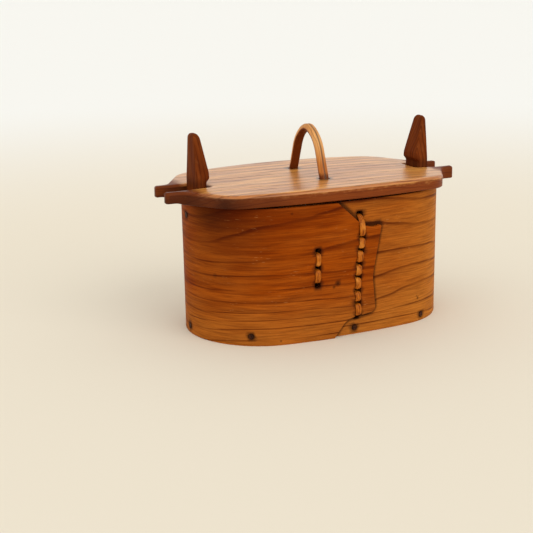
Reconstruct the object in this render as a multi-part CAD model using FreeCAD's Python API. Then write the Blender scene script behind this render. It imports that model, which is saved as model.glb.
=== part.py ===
import FreeCAD, Part
import math
import os

os.makedirs("parts", exist_ok=True)

# Sizes are in millimetres. X runs along the box, Y to its back, Z up from the table.
# The origin is on the table under the middle of the lid.

# Bent band: one thin pine strip, wound a little more than once round
band_thickness = 3.0
band_height = 91.5
body_length = 185.0
body_width = 107.0
side_radius = 384.0
lap_gap = 0.15
inner_end_inset = 0.36
box_shift = 3.1

# Tongue that ends the outer ply: places from the middle of the oval, the table and the rim
tongue_root_top_x = -10.6
tongue_root_bottom_x = -12.0
tongue_hollow_x = 8.6
tongue_hollow_drop = 17.2
tongue_hollow_radius = 16.0
tongue_lobe_x = 17.5
tongue_lobe_drop = 18.6
tongue_lobe_radius = 7.0
tongue_ear_x = 22.8
tongue_ear_drop = 17.3
tongue_ear_radius = 1.0
tongue_waist_x = 16.8
tongue_waist_height = 38.0
tongue_waist_radius = 50.0
tongue_foot_x = 18.6
tongue_foot_height = 15.0
tongue_foot_radius = 3.6
tongue_heel_x = -3.4
tongue_heel_height = 12.2
tongue_heel_radius = 12.0

# Root lacing: two strands share each row of slots
strand_width = 3.9
strand_bulge = 1.4
strand_dip = 1.05
stitch_end_rise = 0.5
stitch_end_gap = 1.1
strand_play = 0.12
slot_play = 0.2
slot_height = 3.2
main_row_x = 7.2
main_row_bottom = 12.6
main_row_drop = 24.0
main_row_slots = 7
top_slot_drop = 9.5
top_stitch_lift = 1.0
short_row_x = -23.8
short_row_bottom = 38.3
short_row_drop = 30.8
short_row_slots = 3

# Bottom board and pegs
board_thickness = 9.0
seat_clearance = 0.05
peg_diameter = 3.6
board_peg_length = 12.0
board_peg_middle_x = 3.8
board_peg_right_turn = 70.0
board_peg_left_turn = 56.0
post_peg_drop = 9.5
post_peg_foot_height = 5.3
post_peg_recess = 0.3

# Posts that hold the lid: depths are measured inwards from the band's inner face
post_width = 18.0
post_top_width = 10.4
post_rise = 43.3
post_neck_depth = 8.1
post_nib_reach = 2.1
post_shave = 1.7
post_shave_drop = 9.0
post_shave_radius = 4.0
post_top_depth = 4.9
post_top_rounding = 1.1
post_shoulder_radius = 20.0
post_crown_radius = 3.4
neck_above_lid = 3.0
neck_radius = 0.8
nib_above_lid = 5.7
nib_tip_radius = 0.6
nib_blunt = 3.6
nib_slope_radius = 3.0

# Lid
lid_overhang = 16.8
lid_side_overhang = 3.8
lid_side_radius = 318.0
lid_thickness = 8.8
lid_seat_gap = 0.5
lid_shoulder_radius = 24.0
lid_slope = 58.0
lid_hollow_radius = 8.0
prong_width = 5.3
prong_length = 5.7
prong_tip_radius = 1.6
notch_play = 0.5
notch_corner_radius = 1.2
notch_nib_clearance = 0.3
lid_top_chamfer = 1.5
lid_bottom_chamfer = 0.8

# Handle: one bent strip of root through the lid, held by a key under each end
handle_width = 6.0
handle_thickness = 4.4
handle_rise = 35.2
handle_apex_radius = 11.0
handle_apex_turn = 20.0
handle_flank_radius = 25.0
handle_leg_turn = 70.0
handle_hole_clearance = 0.25
handle_tail = 8.0
handle_chamfer = 1.1
handle_groove_width = 0.9
handle_groove_depth = 0.45
key_diameter = 2.8
key_length = 15.0
key_drop = 2.2

# Sizes that follow from these
slot_width = strand_width + 2 * slot_play
lid_half_length = body_length / 2 + lid_overhang
lid_half_width = body_width / 2 + lid_side_overhang
notch_half_width = post_width / 2 + notch_play
prong_half_width = notch_half_width + prong_width
post_top = band_height + post_rise
lid_bottom = band_height + lid_seat_gap
lid_top = lid_bottom + lid_thickness
post_peg_length = band_thickness + post_neck_depth - post_peg_recess
main_row_pitch = (band_height - main_row_drop - main_row_bottom) / (main_row_slots - 1)
short_row_pitch = (band_height - short_row_drop - short_row_bottom) / (short_row_slots - 1)


def vector(x, y, z=0.0):
    return FreeCAD.Vector(x, y, z)


def polar(centre, radius, degrees):
    angle = math.radians(degrees)
    return vector(centre.x + radius * math.cos(angle), centre.y + radius * math.sin(angle))


def direction_angle(start, end):
    return math.degrees(math.atan2(end.y - start.y, end.x - start.x))


def arc_edge(centre, radius, start, end):
    middle = (start + end) / 2
    points = [polar(centre, radius, angle) for angle in (start, middle, end)]
    return Part.Arc(*points).toShape()


def line_edge(start, end):
    return Part.LineSegment(start, end).toShape()


def rounded_outline(corners, place):
    # Closed wire through (p, q, radius) corners, each rounded by its own radius.
    count = len(corners)
    starts, middles, ends = [], [], []
    for index, (p, q, radius) in enumerate(corners):
        here = vector(p, q)
        before = vector(*corners[index - 1][:2])
        after = vector(*corners[(index + 1) % count][:2])
        back = (before - here).normalize()
        ahead = (after - here).normalize()
        half_angle = back.getAngle(ahead) / 2
        reach = radius / math.tan(half_angle)
        inward = (back + ahead).normalize()
        starts.append(here + back * reach)
        ends.append(here + ahead * reach)
        middles.append(here + inward * (radius / math.sin(half_angle) - radius))
    edges = []
    for index, (p, q, radius) in enumerate(corners):
        if radius > 0:
            arc_points = [place(point) for point in (starts[index], middles[index], ends[index])]
            edges.append(Part.Arc(*arc_points).toShape())
        following = (index + 1) % count
        if (starts[following] - ends[index]).Length > 1e-6:
            edges.append(line_edge(place(ends[index]), place(starts[following])))
    return Part.Wire(Part.__sortEdges__(edges))


def upright(point):
    return vector(point.x, 0.0, point.y)


def sideways(point):
    return vector(0.0, point.x, point.y)


def flat(point):
    return vector(point.x, point.y)


def prism(wire, start, sweep):
    face = Part.Face(wire)
    face.translate(start)
    return face.extrude(sweep)


# Plan of the box: a four-arc oval, whose left end opens out to let the outer ply pass
ply_step = band_thickness + lap_gap
half_length = (body_length - 2 * band_thickness - ply_step / 2) / 2
half_width = body_width / 2 - band_thickness
front_radius = side_radius - band_thickness
chord_term = 2 * front_radius * half_width - half_width ** 2 - half_length ** 2
end_radius = chord_term / (2 * (front_radius - half_length))
end_x = half_length - end_radius
side_y = front_radius - half_width
front_centre = vector(0, side_y)
back_centre = vector(0, -side_y)
right_centre = vector(end_x, 0)
left_radius = end_radius + ply_step / 2
left_y = -(front_radius - end_radius) * ply_step / (2 * side_y)
left_reach = front_radius - left_radius
left_centre = vector(-math.sqrt(left_reach ** 2 - (left_y + side_y) ** 2), left_y)
right_inner_x = end_x + end_radius
left_inner_x = left_centre.x - left_radius
front_left_radius = front_radius + ply_step


def front_turn(x, radius):
    return 270.0 + math.degrees(math.asin(x / radius))


right_start = 360.0 + direction_angle(front_centre, right_centre)
right_end = 360.0 + direction_angle(back_centre, right_centre)
left_start = direction_angle(back_centre, left_centre)
left_end = 360.0 + direction_angle(front_centre, left_centre)
tongue_reach_turn = front_turn(tongue_ear_x + band_thickness, front_left_radius)

# The inner end lies just past the place where the outer ply starts to run over the front
inner_end_turn = left_end + math.degrees(inner_end_inset / front_radius)

# Each stretch of the strip, in order from its hidden inner end to its tongue
front_stretch = (front_centre, front_radius, inner_end_turn, right_start)
right_stretch = (right_centre, end_radius, right_start, right_end)
back_stretch = (back_centre, front_radius, right_end - 360.0, left_start)
left_stretch = (left_centre, left_radius, left_start, left_end)
outer_stretch = (front_centre, front_left_radius, left_end, tongue_reach_turn)
strip_stretches = (front_stretch, right_stretch, back_stretch, left_stretch, outer_stretch)


def stretch_edges(stretches, offset):
    return [arc_edge(centre, radius + offset, start, end) for centre, radius, start, end in stretches]


def stretch_end(stretch, offset, last):
    centre, radius, start, end = stretch
    return polar(centre, radius + offset, end if last else start)


def strip_face(stretches, inner_offset, outer_offset):
    edges = stretch_edges(stretches, inner_offset) + stretch_edges(stretches, outer_offset)
    for stretch, last in ((stretches[0], False), (stretches[-1], True)):
        near = stretch_end(stretch, inner_offset, last)
        far = stretch_end(stretch, outer_offset, last)
        edges.append(line_edge(near, far))
    return Part.Face(Part.Wire(Part.__sortEdges__(edges)))


def cavity_face(clearance):
    shoulder = (front_centre, front_left_radius, left_end, inner_end_turn)
    stretches = (front_stretch, right_stretch, back_stretch, left_stretch, shoulder)
    edges = stretch_edges(stretches, -clearance)
    low = stretch_end(front_stretch, -clearance, False)
    high = stretch_end(shoulder, -clearance, True)
    edges.append(line_edge(low, high))
    return Part.Face(Part.Wire(Part.__sortEdges__(edges)))


def tongue_prism():
    far_left = tongue_root_bottom_x - body_width / 4
    margin = band_thickness
    corners = (
        (far_left, -margin, 0),
        (tongue_root_bottom_x - margin, -margin, 0),
        (tongue_heel_x, tongue_heel_height, tongue_heel_radius),
        (tongue_foot_x, tongue_foot_height, tongue_foot_radius),
        (tongue_waist_x, tongue_waist_height, tongue_waist_radius),
        (tongue_ear_x, band_height - tongue_ear_drop, tongue_ear_radius),
        (tongue_lobe_x, band_height - tongue_lobe_drop, tongue_lobe_radius),
        (tongue_hollow_x, band_height - tongue_hollow_drop, tongue_hollow_radius),
        (tongue_root_top_x - margin, band_height + margin, 0),
        (far_left, band_height + margin, 0),
    )
    wire = rounded_outline(corners, upright)
    return prism(wire, vector(0, -body_width, 0), vector(0, body_width, 0))


def tongue_waste():
    root_turn = front_turn(tongue_root_bottom_x - 4 * band_thickness, front_left_radius)
    past_end = front_turn(tongue_ear_x + 2 * band_thickness, front_left_radius)
    stretch = ((front_centre, front_left_radius, root_turn, past_end),)
    face = strip_face(stretch, -lap_gap / 2, 2 * band_thickness)
    face.translate(vector(0, 0, -band_thickness))
    blank = face.extrude(vector(0, 0, band_height + 2 * band_thickness))
    return blank.cut(tongue_prism())


def at_front(shape, x):
    # Local X runs along the wall and local Y inwards; Y = 0 is the inner ply's outer face.
    radius = front_radius + band_thickness
    turn = math.degrees(math.asin(x / radius))
    foot = polar(front_centre, radius, front_turn(x, radius))
    placed = shape.copy()
    placed.Placement = FreeCAD.Placement(foot, FreeCAD.Rotation(vector(0, 0, 1), turn))
    return placed


def box_between(low, high):
    size = high - low
    return Part.makeBox(size.x, size.y, size.z, low)


def main_row_heights():
    return [main_row_bottom + main_row_pitch * index for index in range(main_row_slots)]


def short_row_heights():
    return [short_row_bottom + short_row_pitch * index for index in range(short_row_slots)]


def slot(height):
    low = vector(-slot_width / 2, -3 * band_thickness, height - slot_height / 2)
    high = vector(slot_width / 2, 3 * band_thickness, height + slot_height / 2)
    return box_between(low, high)


def lacing_slots():
    slots = [at_front(slot(height), main_row_x) for height in main_row_heights()]
    slots.append(at_front(slot(band_height - top_slot_drop), main_row_x))
    slots += [at_front(slot(height), short_row_x) for height in short_row_heights()]
    return slots


# A peg station is a point on the band's outer face: arc centre, radius, angle, height, peg length
def peg(station):
    centre, radius, turn, height, length = station
    start = polar(centre, radius, turn) + vector(0, 0, height)
    inward = (centre - polar(centre, radius, turn)).normalize()
    return Part.makeCylinder(peg_diameter / 2, length, start, inward)


def board_peg_stations():
    height = board_thickness / 2
    outer_radius = front_radius + band_thickness
    middle_turn = front_turn(board_peg_middle_x, outer_radius)
    places = [
        (front_centre, outer_radius, middle_turn),
        (back_centre, outer_radius, -middle_turn),
        (right_centre, end_radius + band_thickness, -board_peg_right_turn),
        (right_centre, end_radius + band_thickness, board_peg_right_turn),
        (left_centre, left_radius + band_thickness, 180.0 + board_peg_left_turn),
        (left_centre, left_radius + band_thickness, 180.0 - board_peg_left_turn),
    ]
    return [place + (height, board_peg_length) for place in places]


def post_peg_stations(centre, radius, turn):
    heights = (band_height - post_peg_drop, post_peg_foot_height)
    return [(centre, radius + band_thickness, turn, height, post_peg_length) for height in heights]


# The left end's arc is centred a little off the posts' line, so its pegs start at another angle
left_post_turn = 180.0 + math.degrees(math.asin(left_y / (left_radius + band_thickness)))
left_stations = post_peg_stations(left_centre, left_radius, left_post_turn)
right_stations = post_peg_stations(right_centre, end_radius, 0.0)


def pegs_at(stations):
    return [peg(station) for station in stations]


def side_band():
    strip = strip_face(strip_stretches, 0, band_thickness).extrude(vector(0, 0, band_height))
    pegs = pegs_at(board_peg_stations() + left_stations + right_stations)
    return strip.cut(tongue_waste()).cut(lacing_slots() + pegs)


def post_blank(inner_x, facing):
    # Side view of the post, measured inwards from the band's inner face at its own end.
    nib_low = lid_top + nib_above_lid
    nib_depth = post_neck_depth + post_nib_reach
    corners = (
        (-band_thickness, 0, 0),
        (-band_thickness, band_height - post_shave_drop, 0),
        (post_shave, band_height, post_shave_radius),
        (post_shave, post_top, post_top_rounding),
        (post_top_depth, post_top, post_top_rounding),
        (nib_depth, nib_low + nib_blunt, nib_slope_radius),
        (nib_depth, nib_low, nib_tip_radius),
        (post_neck_depth, lid_top + neck_above_lid, neck_radius),
        (post_neck_depth, 0, 0),
    )
    placed = [(inner_x - facing * depth, height, radius) for depth, height, radius in corners]
    wire = rounded_outline(placed, upright)
    return prism(wire, vector(0, -post_width, 0), vector(0, 2 * post_width, 0))


def post_front_prism(inner_x):
    # Front view of the post: straight up to the nib, then drawn in to a narrow rounded top.
    half = post_width / 2
    top_half = post_top_width / 2
    shoulder = lid_top + nib_above_lid
    corners = (
        (-half, 0, 0),
        (half, 0, 0),
        (half, shoulder, post_shoulder_radius),
        (top_half, post_top, post_crown_radius),
        (-top_half, post_top, post_crown_radius),
        (-half, shoulder, post_shoulder_radius),
    )
    wire = rounded_outline(corners, sideways)
    reach = 2 * post_width
    return prism(wire, vector(inner_x - reach, 0, 0), vector(2 * reach, 0, 0))


def post(inner_x, facing, stations):
    room = cavity_face(seat_clearance).extrude(vector(0, 0, post_top + band_thickness))
    body = post_blank(inner_x, facing).common(post_front_prism(inner_x)).common(room)
    return body.cut(pegs_at(stations))


def post_notch(inner_x, facing):
    # Room for a post's foot in the end of the bottom board.
    half = post_width / 2 + seat_clearance
    near = inner_x + facing * band_thickness
    far = inner_x - facing * (post_neck_depth + seat_clearance)
    low = vector(min(near, far), -half, -board_thickness)
    high = vector(max(near, far), half, 2 * board_thickness)
    return box_between(low, high)


def bottom_board():
    board = cavity_face(seat_clearance).extrude(vector(0, 0, board_thickness))
    notches = [post_notch(right_inner_x, 1), post_notch(left_inner_x, -1)]
    return board.cut(notches + pegs_at(board_peg_stations()))


def section_point(depth, height):
    # A point in the wall's section: depth inwards from the inner ply's outer face, and height.
    return vector(0.0, depth, height)


def stitch(low, high, low_face, high_face, sign, corner=None):
    # A stitch lies on the wall from one slot to the next and dips into both.
    # sign is -1 on the outside of the wall and 1 on its inside. A stitch with a corner climbs
    # the outer ply to that edge and goes over it to a slot in the inner ply.
    low_lip = low + slot_height / 2 - strand_play
    high_lip = high - slot_height / 2 + strand_play
    foot = low + stitch_end_gap / 2
    head = high - stitch_end_gap / 2
    dip = -sign * strand_dip
    start = section_point(low_face + sign * stitch_end_rise, foot)
    end = section_point(high_face + sign * stitch_end_rise, head)
    bed = [section_point(high_face, high_lip), section_point(low_face, low_lip)]
    if corner is None:
        crest = section_point((low_face + high_face) / 2 + sign * strand_bulge, (low + high) / 2)
        crown = [Part.Arc(start, crest, end).toShape()]
    else:
        bed.insert(1, corner + section_point(0, strand_play))
        turn = corner + section_point(sign * stitch_end_rise, top_stitch_lift)
        crest = section_point(low_face + sign * strand_bulge, (foot + turn.z) / 2)
        crown = [Part.Arc(start, crest, turn).toShape(), line_edge(turn, end)]
    path = [end, section_point(high_face + dip, head), section_point(high_face + dip, high_lip)]
    path += bed
    path += [section_point(low_face + dip, low_lip), section_point(low_face + dip, foot), start]
    edges = [line_edge(a, b) for a, b in zip(path, path[1:])]
    wire = Part.Wire(Part.__sortEdges__(edges + crown))
    half = strand_width / 2
    return prism(wire, vector(-half, 0, 0), vector(2 * half, 0, 0))


def passage(height, outer_face, side):
    # A strand's half-width leg through the wall; the other strand passes beside it.
    reach = slot_height / 2 - strand_play
    near = strand_play / 2
    far = strand_width / 2
    across = (near, far) if side > 0 else (-far, -near)
    low = vector(across[0], outer_face + strand_dip, height - reach)
    high = vector(across[1], band_thickness - strand_dip, height + reach)
    return box_between(low, high)


def strands(heights, outer_faces, x, corner=None):
    # Two strands run in and out through the same slots, so that stitches close up the row
    # on both sides of the wall: where one lies outside, the other lies inside.
    result = []
    last = len(heights) - 1
    for strand in (0, 1):
        side = 1 if strand == 0 else -1
        pieces = [passage(height, face, side) for height, face in zip(heights, outer_faces)]
        for index in range(last):
            low, high = heights[index], heights[index + 1]
            if (index + strand) % 2 == 0:
                bend = corner if index == last - 1 else None
                pieces.append(stitch(low, high, outer_faces[index], outer_faces[index + 1], -1, bend))
            else:
                pieces.append(stitch(low, high, band_thickness, band_thickness, 1))
        body = pieces[0].fuse(pieces[1:]).removeSplitter()
        result.append(at_front(body, x))
    return result


def tongue_edge_at(x):
    # Height of the tongue's top edge on its straight run down to the hollow.
    top = vector(tongue_root_top_x - band_thickness, band_height + band_thickness)
    hollow = vector(tongue_hollow_x, band_height - tongue_hollow_drop)
    share = (x - top.x) / (hollow.x - top.x)
    return top.y + share * (hollow.y - top.y)


def overlap_lacing():
    heights = main_row_heights() + [band_height - top_slot_drop]
    faces = [-ply_step] * main_row_slots + [0.0]
    corner = section_point(-ply_step, tongue_edge_at(main_row_x - strand_width / 2))
    return Part.makeCompound(strands(heights, faces, main_row_x, corner))


def short_lacing():
    heights = short_row_heights()
    return Part.makeCompound(strands(heights, [-ply_step] * short_row_slots, short_row_x))


def lid_quadrant():
    # Edges of the lid's outline from the middle of its back to the tip of one prong.
    # The shoulder's circle touches both the long side arc and the slope to the prong.
    slope_turn = 90.0 - lid_slope
    hollow_centre = vector(lid_half_length - prong_length, prong_half_width + lid_hollow_radius)
    prong_start = hollow_centre - vector(0, lid_hollow_radius)
    slope_end = polar(hollow_centre, lid_hollow_radius, 180.0 + slope_turn)
    side_centre = vector(0, lid_half_width - lid_side_radius)
    track_start = polar(slope_end, -lid_shoulder_radius, slope_turn)
    track = polar(vector(0, 0), 1.0, 90.0 + slope_turn)
    offset = track_start - side_centre
    reach = lid_side_radius - lid_shoulder_radius
    along = offset.dot(track)
    shoulder_centre = track_start + track * (math.sqrt(along ** 2 - offset.dot(offset) + reach ** 2) - along)
    slope_start = polar(shoulder_centre, lid_shoulder_radius, slope_turn)
    side_turn = direction_angle(side_centre, shoulder_centre)
    return [
        arc_edge(side_centre, lid_side_radius, 90.0, side_turn),
        arc_edge(shoulder_centre, lid_shoulder_radius, side_turn, slope_turn),
        line_edge(slope_start, slope_end),
        arc_edge(hollow_centre, lid_hollow_radius, 180.0 + slope_turn, 270.0),
        line_edge(prong_start, vector(lid_half_length, prong_half_width)),
    ]


def lid_outline():
    edges = lid_quadrant()
    edges.append(line_edge(vector(lid_half_length, prong_half_width), vector(lid_half_length, 0)))
    half = edges + [edge.mirror(vector(0, 0), vector(1, 0)) for edge in edges]
    whole = half + [edge.mirror(vector(0, 0), vector(0, 1)) for edge in half]
    return Part.Wire(Part.__sortEdges__(whole))


def lid_notch(inner_x, facing):
    end = inner_x + box_shift - facing * (post_neck_depth + post_nib_reach + notch_nib_clearance)
    tip = facing * (lid_half_length + lid_thickness)
    corners = (
        (end, -notch_half_width, notch_corner_radius),
        (end, notch_half_width, notch_corner_radius),
        (tip, notch_half_width, 0),
        (tip, -notch_half_width, 0),
    )
    wire = rounded_outline(corners, flat)
    return prism(wire, vector(0, 0, 0), vector(0, 0, 2 * band_height))


surface_tolerance = 0.02


def rim_edges(shape, height):
    # Edges of the lid that lie on its top or bottom surface.
    boxes = [(edge, edge.BoundBox) for edge in shape.Edges]
    return [edge for edge, box in boxes
            if box.ZLength < surface_tolerance and abs(box.ZMin - height) < surface_tolerance]


def handle_outline(offset, tail):
    # Outer edge of the bent strip moved inwards by offset, from one tail over the top.
    apex_centre = vector(0, lid_top + handle_rise - handle_apex_radius)
    turn = 90.0 - handle_apex_turn
    flank_centre = polar(apex_centre, handle_apex_radius - handle_flank_radius, turn)
    leg_turn = 90.0 - handle_leg_turn
    leg_start = polar(flank_centre, handle_flank_radius - offset, leg_turn)
    leg_way = polar(vector(0, 0), 1.0, leg_turn - 90.0)
    foot = leg_start + leg_way * ((leg_start.y - tail) / -leg_way.y)
    apex = polar(apex_centre, handle_apex_radius - offset, 90.0)
    apex_bend = polar(apex_centre, handle_apex_radius - offset, (90.0 + turn) / 2)
    apex_end = polar(apex_centre, handle_apex_radius - offset, turn)
    flank_bend = polar(flank_centre, handle_flank_radius - offset, (turn + leg_turn) / 2)
    right = [
        Part.Arc(sideways(apex), sideways(apex_bend), sideways(apex_end)).toShape(),
        Part.Arc(sideways(apex_end), sideways(flank_bend), sideways(leg_start)).toShape(),
        line_edge(sideways(leg_start), sideways(foot)),
    ]
    left = [edge.mirror(vector(0, 0), vector(0, 1)) for edge in right]
    return right + left, foot


def handle_strip(outer, inner, width, tail):
    outer_edges, outer_foot = handle_outline(outer, tail)
    inner_edges, inner_foot = handle_outline(inner, tail)
    mirrored = [vector(-foot.x, foot.y) for foot in (outer_foot, inner_foot)]
    edges = outer_edges + inner_edges
    edges.append(line_edge(sideways(outer_foot), sideways(inner_foot)))
    edges.append(line_edge(sideways(mirrored[0]), sideways(mirrored[1])))
    wire = Part.Wire(Part.__sortEdges__(edges))
    return prism(wire, vector(-width / 2, 0, 0), vector(width, 0, 0))


handle_tail_height = lid_bottom - handle_tail


def handle_keys():
    outer_foot = handle_outline(handle_thickness / 2, lid_bottom - key_drop)[1]
    keys = []
    for side in (-1, 1):
        start = vector(-key_length / 2, side * outer_foot.x, outer_foot.y)
        keys.append(Part.makeCylinder(key_diameter / 2, key_length, start, vector(1, 0, 0)))
    return keys


def handle_loop():
    strip = handle_strip(0, handle_thickness, handle_width, handle_tail_height)
    long_edges = [edge for edge in strip.Edges if abs(edge.BoundBox.XLength) < 1e-6]
    strip = strip.makeChamfer(handle_chamfer, long_edges)
    past = handle_groove_width
    groove = handle_strip(-past, handle_groove_depth, handle_groove_width, handle_tail_height - past)
    return strip.cut([groove] + handle_keys())


def lid_board():
    board = prism(lid_outline(), vector(0, 0, lid_bottom), vector(0, 0, lid_thickness))
    tips = [edge for edge in board.Edges if edge.BoundBox.ZLength > lid_thickness / 2
            and abs(edge.CenterOfMass.x) > lid_half_length - prong_length / 2]
    board = board.makeFillet(prong_tip_radius, tips)
    board = board.cut([lid_notch(right_inner_x, 1), lid_notch(left_inner_x, -1)])
    board = board.makeChamfer(lid_top_chamfer, rim_edges(board, lid_top))
    board = board.makeChamfer(lid_bottom_chamfer, rim_edges(board, lid_bottom))
    play = handle_hole_clearance
    hole = handle_strip(-play, handle_thickness + play, handle_width + 2 * play, handle_tail_height)
    return board.cut(hole)


def shifted(shape):
    moved = shape.copy()
    moved.translate(vector(box_shift, 0, 0))
    return moved


def write(name, shape):
    shape.exportStep("parts/" + name + ".step")
    box = shape.BoundBox
    sizes = "%.1f x %.1f x %.1f" % (box.XLength, box.YLength, box.ZLength)
    print(name, len(shape.Solids), "solid", sizes, "valid" if shape.isValid() else "INVALID")


write("side_band", shifted(side_band()))
write("bottom_board", shifted(bottom_board()))
write("left_post", shifted(post(left_inner_x, -1, left_stations)))
write("right_post", shifted(post(right_inner_x, 1, right_stations)))
write("overlap_lacing", shifted(overlap_lacing()))
write("short_lacing", shifted(short_lacing()))
write("bottom_pegs", shifted(Part.makeCompound(pegs_at(board_peg_stations()))))
write("left_post_pegs", shifted(Part.makeCompound(pegs_at(left_stations))))
write("right_post_pegs", shifted(Part.makeCompound(pegs_at(right_stations))))
write("lid_board", lid_board())
write("handle_loop", handle_loop())
write("handle_keys", Part.makeCompound(handle_keys()))
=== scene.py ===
import math

import bmesh
import bpy
from mathutils import Matrix, Vector, noise
from mathutils.geometry import delaunay_2d_cdt
from mathutils.kdtree import KDTree


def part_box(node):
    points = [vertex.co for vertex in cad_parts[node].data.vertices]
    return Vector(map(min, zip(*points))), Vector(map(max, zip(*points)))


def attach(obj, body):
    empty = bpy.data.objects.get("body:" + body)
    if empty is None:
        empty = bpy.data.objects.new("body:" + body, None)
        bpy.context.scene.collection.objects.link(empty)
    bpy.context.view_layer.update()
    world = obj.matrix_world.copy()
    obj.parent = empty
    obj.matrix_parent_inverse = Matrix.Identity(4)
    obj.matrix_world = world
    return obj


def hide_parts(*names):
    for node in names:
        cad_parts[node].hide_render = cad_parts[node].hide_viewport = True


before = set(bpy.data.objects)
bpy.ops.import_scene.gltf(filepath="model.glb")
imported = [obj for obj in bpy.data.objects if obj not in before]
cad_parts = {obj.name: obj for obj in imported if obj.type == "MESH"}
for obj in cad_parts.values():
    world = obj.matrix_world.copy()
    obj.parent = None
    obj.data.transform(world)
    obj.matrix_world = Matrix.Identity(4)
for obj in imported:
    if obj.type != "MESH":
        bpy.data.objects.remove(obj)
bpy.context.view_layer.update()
metre = 0.001  # sizes below are in millimetres, and made metres when a mesh is built

# Outlines and meshes


def polar(centre, radius, degrees):
    angle = math.radians(degrees)
    return centre + Vector((math.cos(angle), math.sin(angle))) * radius


def arcPoints(centre, radius, start, end, step):
    count = max(2, math.ceil(abs(math.radians(end - start)) * radius / step))
    return [polar(centre, radius, start + (end - start) * i / count) for i in range(count + 1)]


def roundedCorners(corners, step, closed=True):
    # points along (x, y, radius) corners, each rounded by its own radius
    points = []
    for index, (x, y, radius) in enumerate(corners):
        here = Vector((x, y))
        if radius <= 0 or (not closed and index in (0, len(corners) - 1)):
            points.append(here)
            continue
        back = (Vector(corners[index - 1][:2]) - here).normalized()
        ahead = (Vector(corners[(index + 1) % len(corners)][:2]) - here).normalized()
        half = back.angle(ahead) / 2
        centre = here + (back + ahead).normalized() * (radius / math.sin(half))
        first = here + back * (radius / math.tan(half)) - centre
        last = here + ahead * (radius / math.tan(half)) - centre
        turn = -first.angle_signed(last)
        count = max(2, math.ceil(abs(turn) * radius / step))
        points += [centre + Matrix.Rotation(turn * i / count, 2) @ first for i in range(count + 1)]
    return points


def densified(loop, step):
    points = []
    for index, here in enumerate(loop):
        ahead = loop[(index + 1) % len(loop)]
        parts = max(1, math.ceil((ahead - here).length / step))
        points += [here.lerp(ahead, i / parts) for i in range(parts)]
    return points


def insetLoop(loop, depths):
    moved = []
    for index, here in enumerate(loop):
        way = (loop[(index + 1) % len(loop)] - loop[index - 1]).normalized()
        moved.append(here + Vector((-way.y, way.x)) * depths[index])
    return moved


def nearTree(points):
    tree = KDTree(len(points))
    for index, point in enumerate(points):
        tree.insert(point.to_3d(), index)
    tree.balance()
    return tree


def distanceTo(tree, point):
    return tree.find((point.x, point.y, 0))[2]


def walkedAlong(line):
    # distance along a line at each of its points
    walked = [0.0]
    for before, here in zip(line, line[1:]):
        walked.append(walked[-1] + (here - before).length)
    return walked


def insideLoop(point, loop):
    inside = False
    for index, a in enumerate(loop):
        b = loop[(index + 1) % len(loop)]
        if (a.y > point.y) != (b.y > point.y):
            if point.x < a.x + (point.y - a.y) / (b.y - a.y) * (b.x - a.x):
                inside = not inside
    return inside


def flatSheet(outline, holes, step, extra=()):
    # even triangles that fill an outline round its holes, with a vertex at each extra point
    points, edges = [], []
    for loop in [outline] + holes:
        first = len(points)
        points += loop
        edges += [(first + i, first + (i + 1) % len(loop)) for i in range(len(loop))]
    rims = [point for loop in [outline] + holes for point in densified(loop, step / 3)]
    close = nearTree(rims + list(extra))
    points += [point for point in extra if not any(insideLoop(point, loop) for loop in holes)]
    low = Vector((min(p.x for p in outline), min(p.y for p in outline)))
    high = Vector((max(p.x for p in outline), max(p.y for p in outline)))
    for row in range(1, math.ceil((high.y - low.y) / step)):
        for column in range(1, math.ceil((high.x - low.x) / step)):
            point = low + Vector((step * (column + 0.5 * (row % 2)), step * row))
            if distanceTo(close, point) > 0.55 * step and insideLoop(point, outline):
                points.append(point)
    made = delaunay_2d_cdt(points, edges, [], 1, 1e-5)
    places, triangles = made[0], made[2]
    rounds = []
    for loop in holes:
        centre = sum(loop, Vector((0, 0))) / len(loop)
        rounds.append((centre, max((p - centre).length for p in loop), loop))
    kept = []
    for triangle in triangles:
        a, b, c = (places[i] for i in triangle)
        middle = (a + b + c) / 3
        near = (loop for centre, reach, loop in rounds if (middle - centre).length < reach)
        if any(insideLoop(middle, loop) for loop in near):
            continue
        upward = (b - a).cross(c - a) > 0
        kept.append(tuple(triangle) if upward else tuple(reversed(triangle)))
    return places, kept


def rimEdges(triangles):
    edges = {(t[i], t[(i + 1) % 3]) for t in triangles for i in range(3)}
    return sorted((a, b) for a, b in edges if (b, a) not in edges)


def newPiece(name, vertices, faces):
    mesh = bpy.data.meshes.new(name)
    mesh.from_pydata([Vector(v) * metre for v in vertices], [], faces)
    mesh.update()
    piece = bpy.data.objects.new(name, mesh)
    bpy.context.collection.objects.link(piece)
    return piece


def tidyMesh(piece):
    work = bmesh.new()
    work.from_mesh(piece.data)
    bmesh.ops.remove_doubles(work, verts=work.verts, dist=0.02 * metre)
    bmesh.ops.recalc_face_normals(work, faces=work.faces)
    work.to_mesh(piece.data)
    work.free()


def plainMesh(piece):
    # the evaluated result becomes the piece's own mesh, and no modifier is left
    graph = bpy.context.evaluated_depsgraph_get()
    made = bpy.data.meshes.new_from_object(piece.evaluated_get(graph))
    piece.modifiers.clear()
    piece.data = made
    return piece


def roundEdges(piece, width, angle=40, segments=2):
    bevel = piece.modifiers.new("edges", "BEVEL")
    bevel.width = width * metre
    bevel.segments = segments
    bevel.limit_method = "ANGLE"
    bevel.angle_limit = math.radians(angle)
    return plainMesh(piece)


def shadeSmooth(piece, angle=35):
    piece.data.shade_smooth()
    piece.data.set_sharp_from_angle(angle=math.radians(angle))


def ringFaces(count, size):
    # faces between rings that have equally many points
    faces = []
    for row in range(count - 1):
        for i in range(size):
            j = (i + 1) % size
            faces.append((row * size + i, row * size + j, (row + 1) * size + j, (row + 1) * size + i))
    return faces


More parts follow.
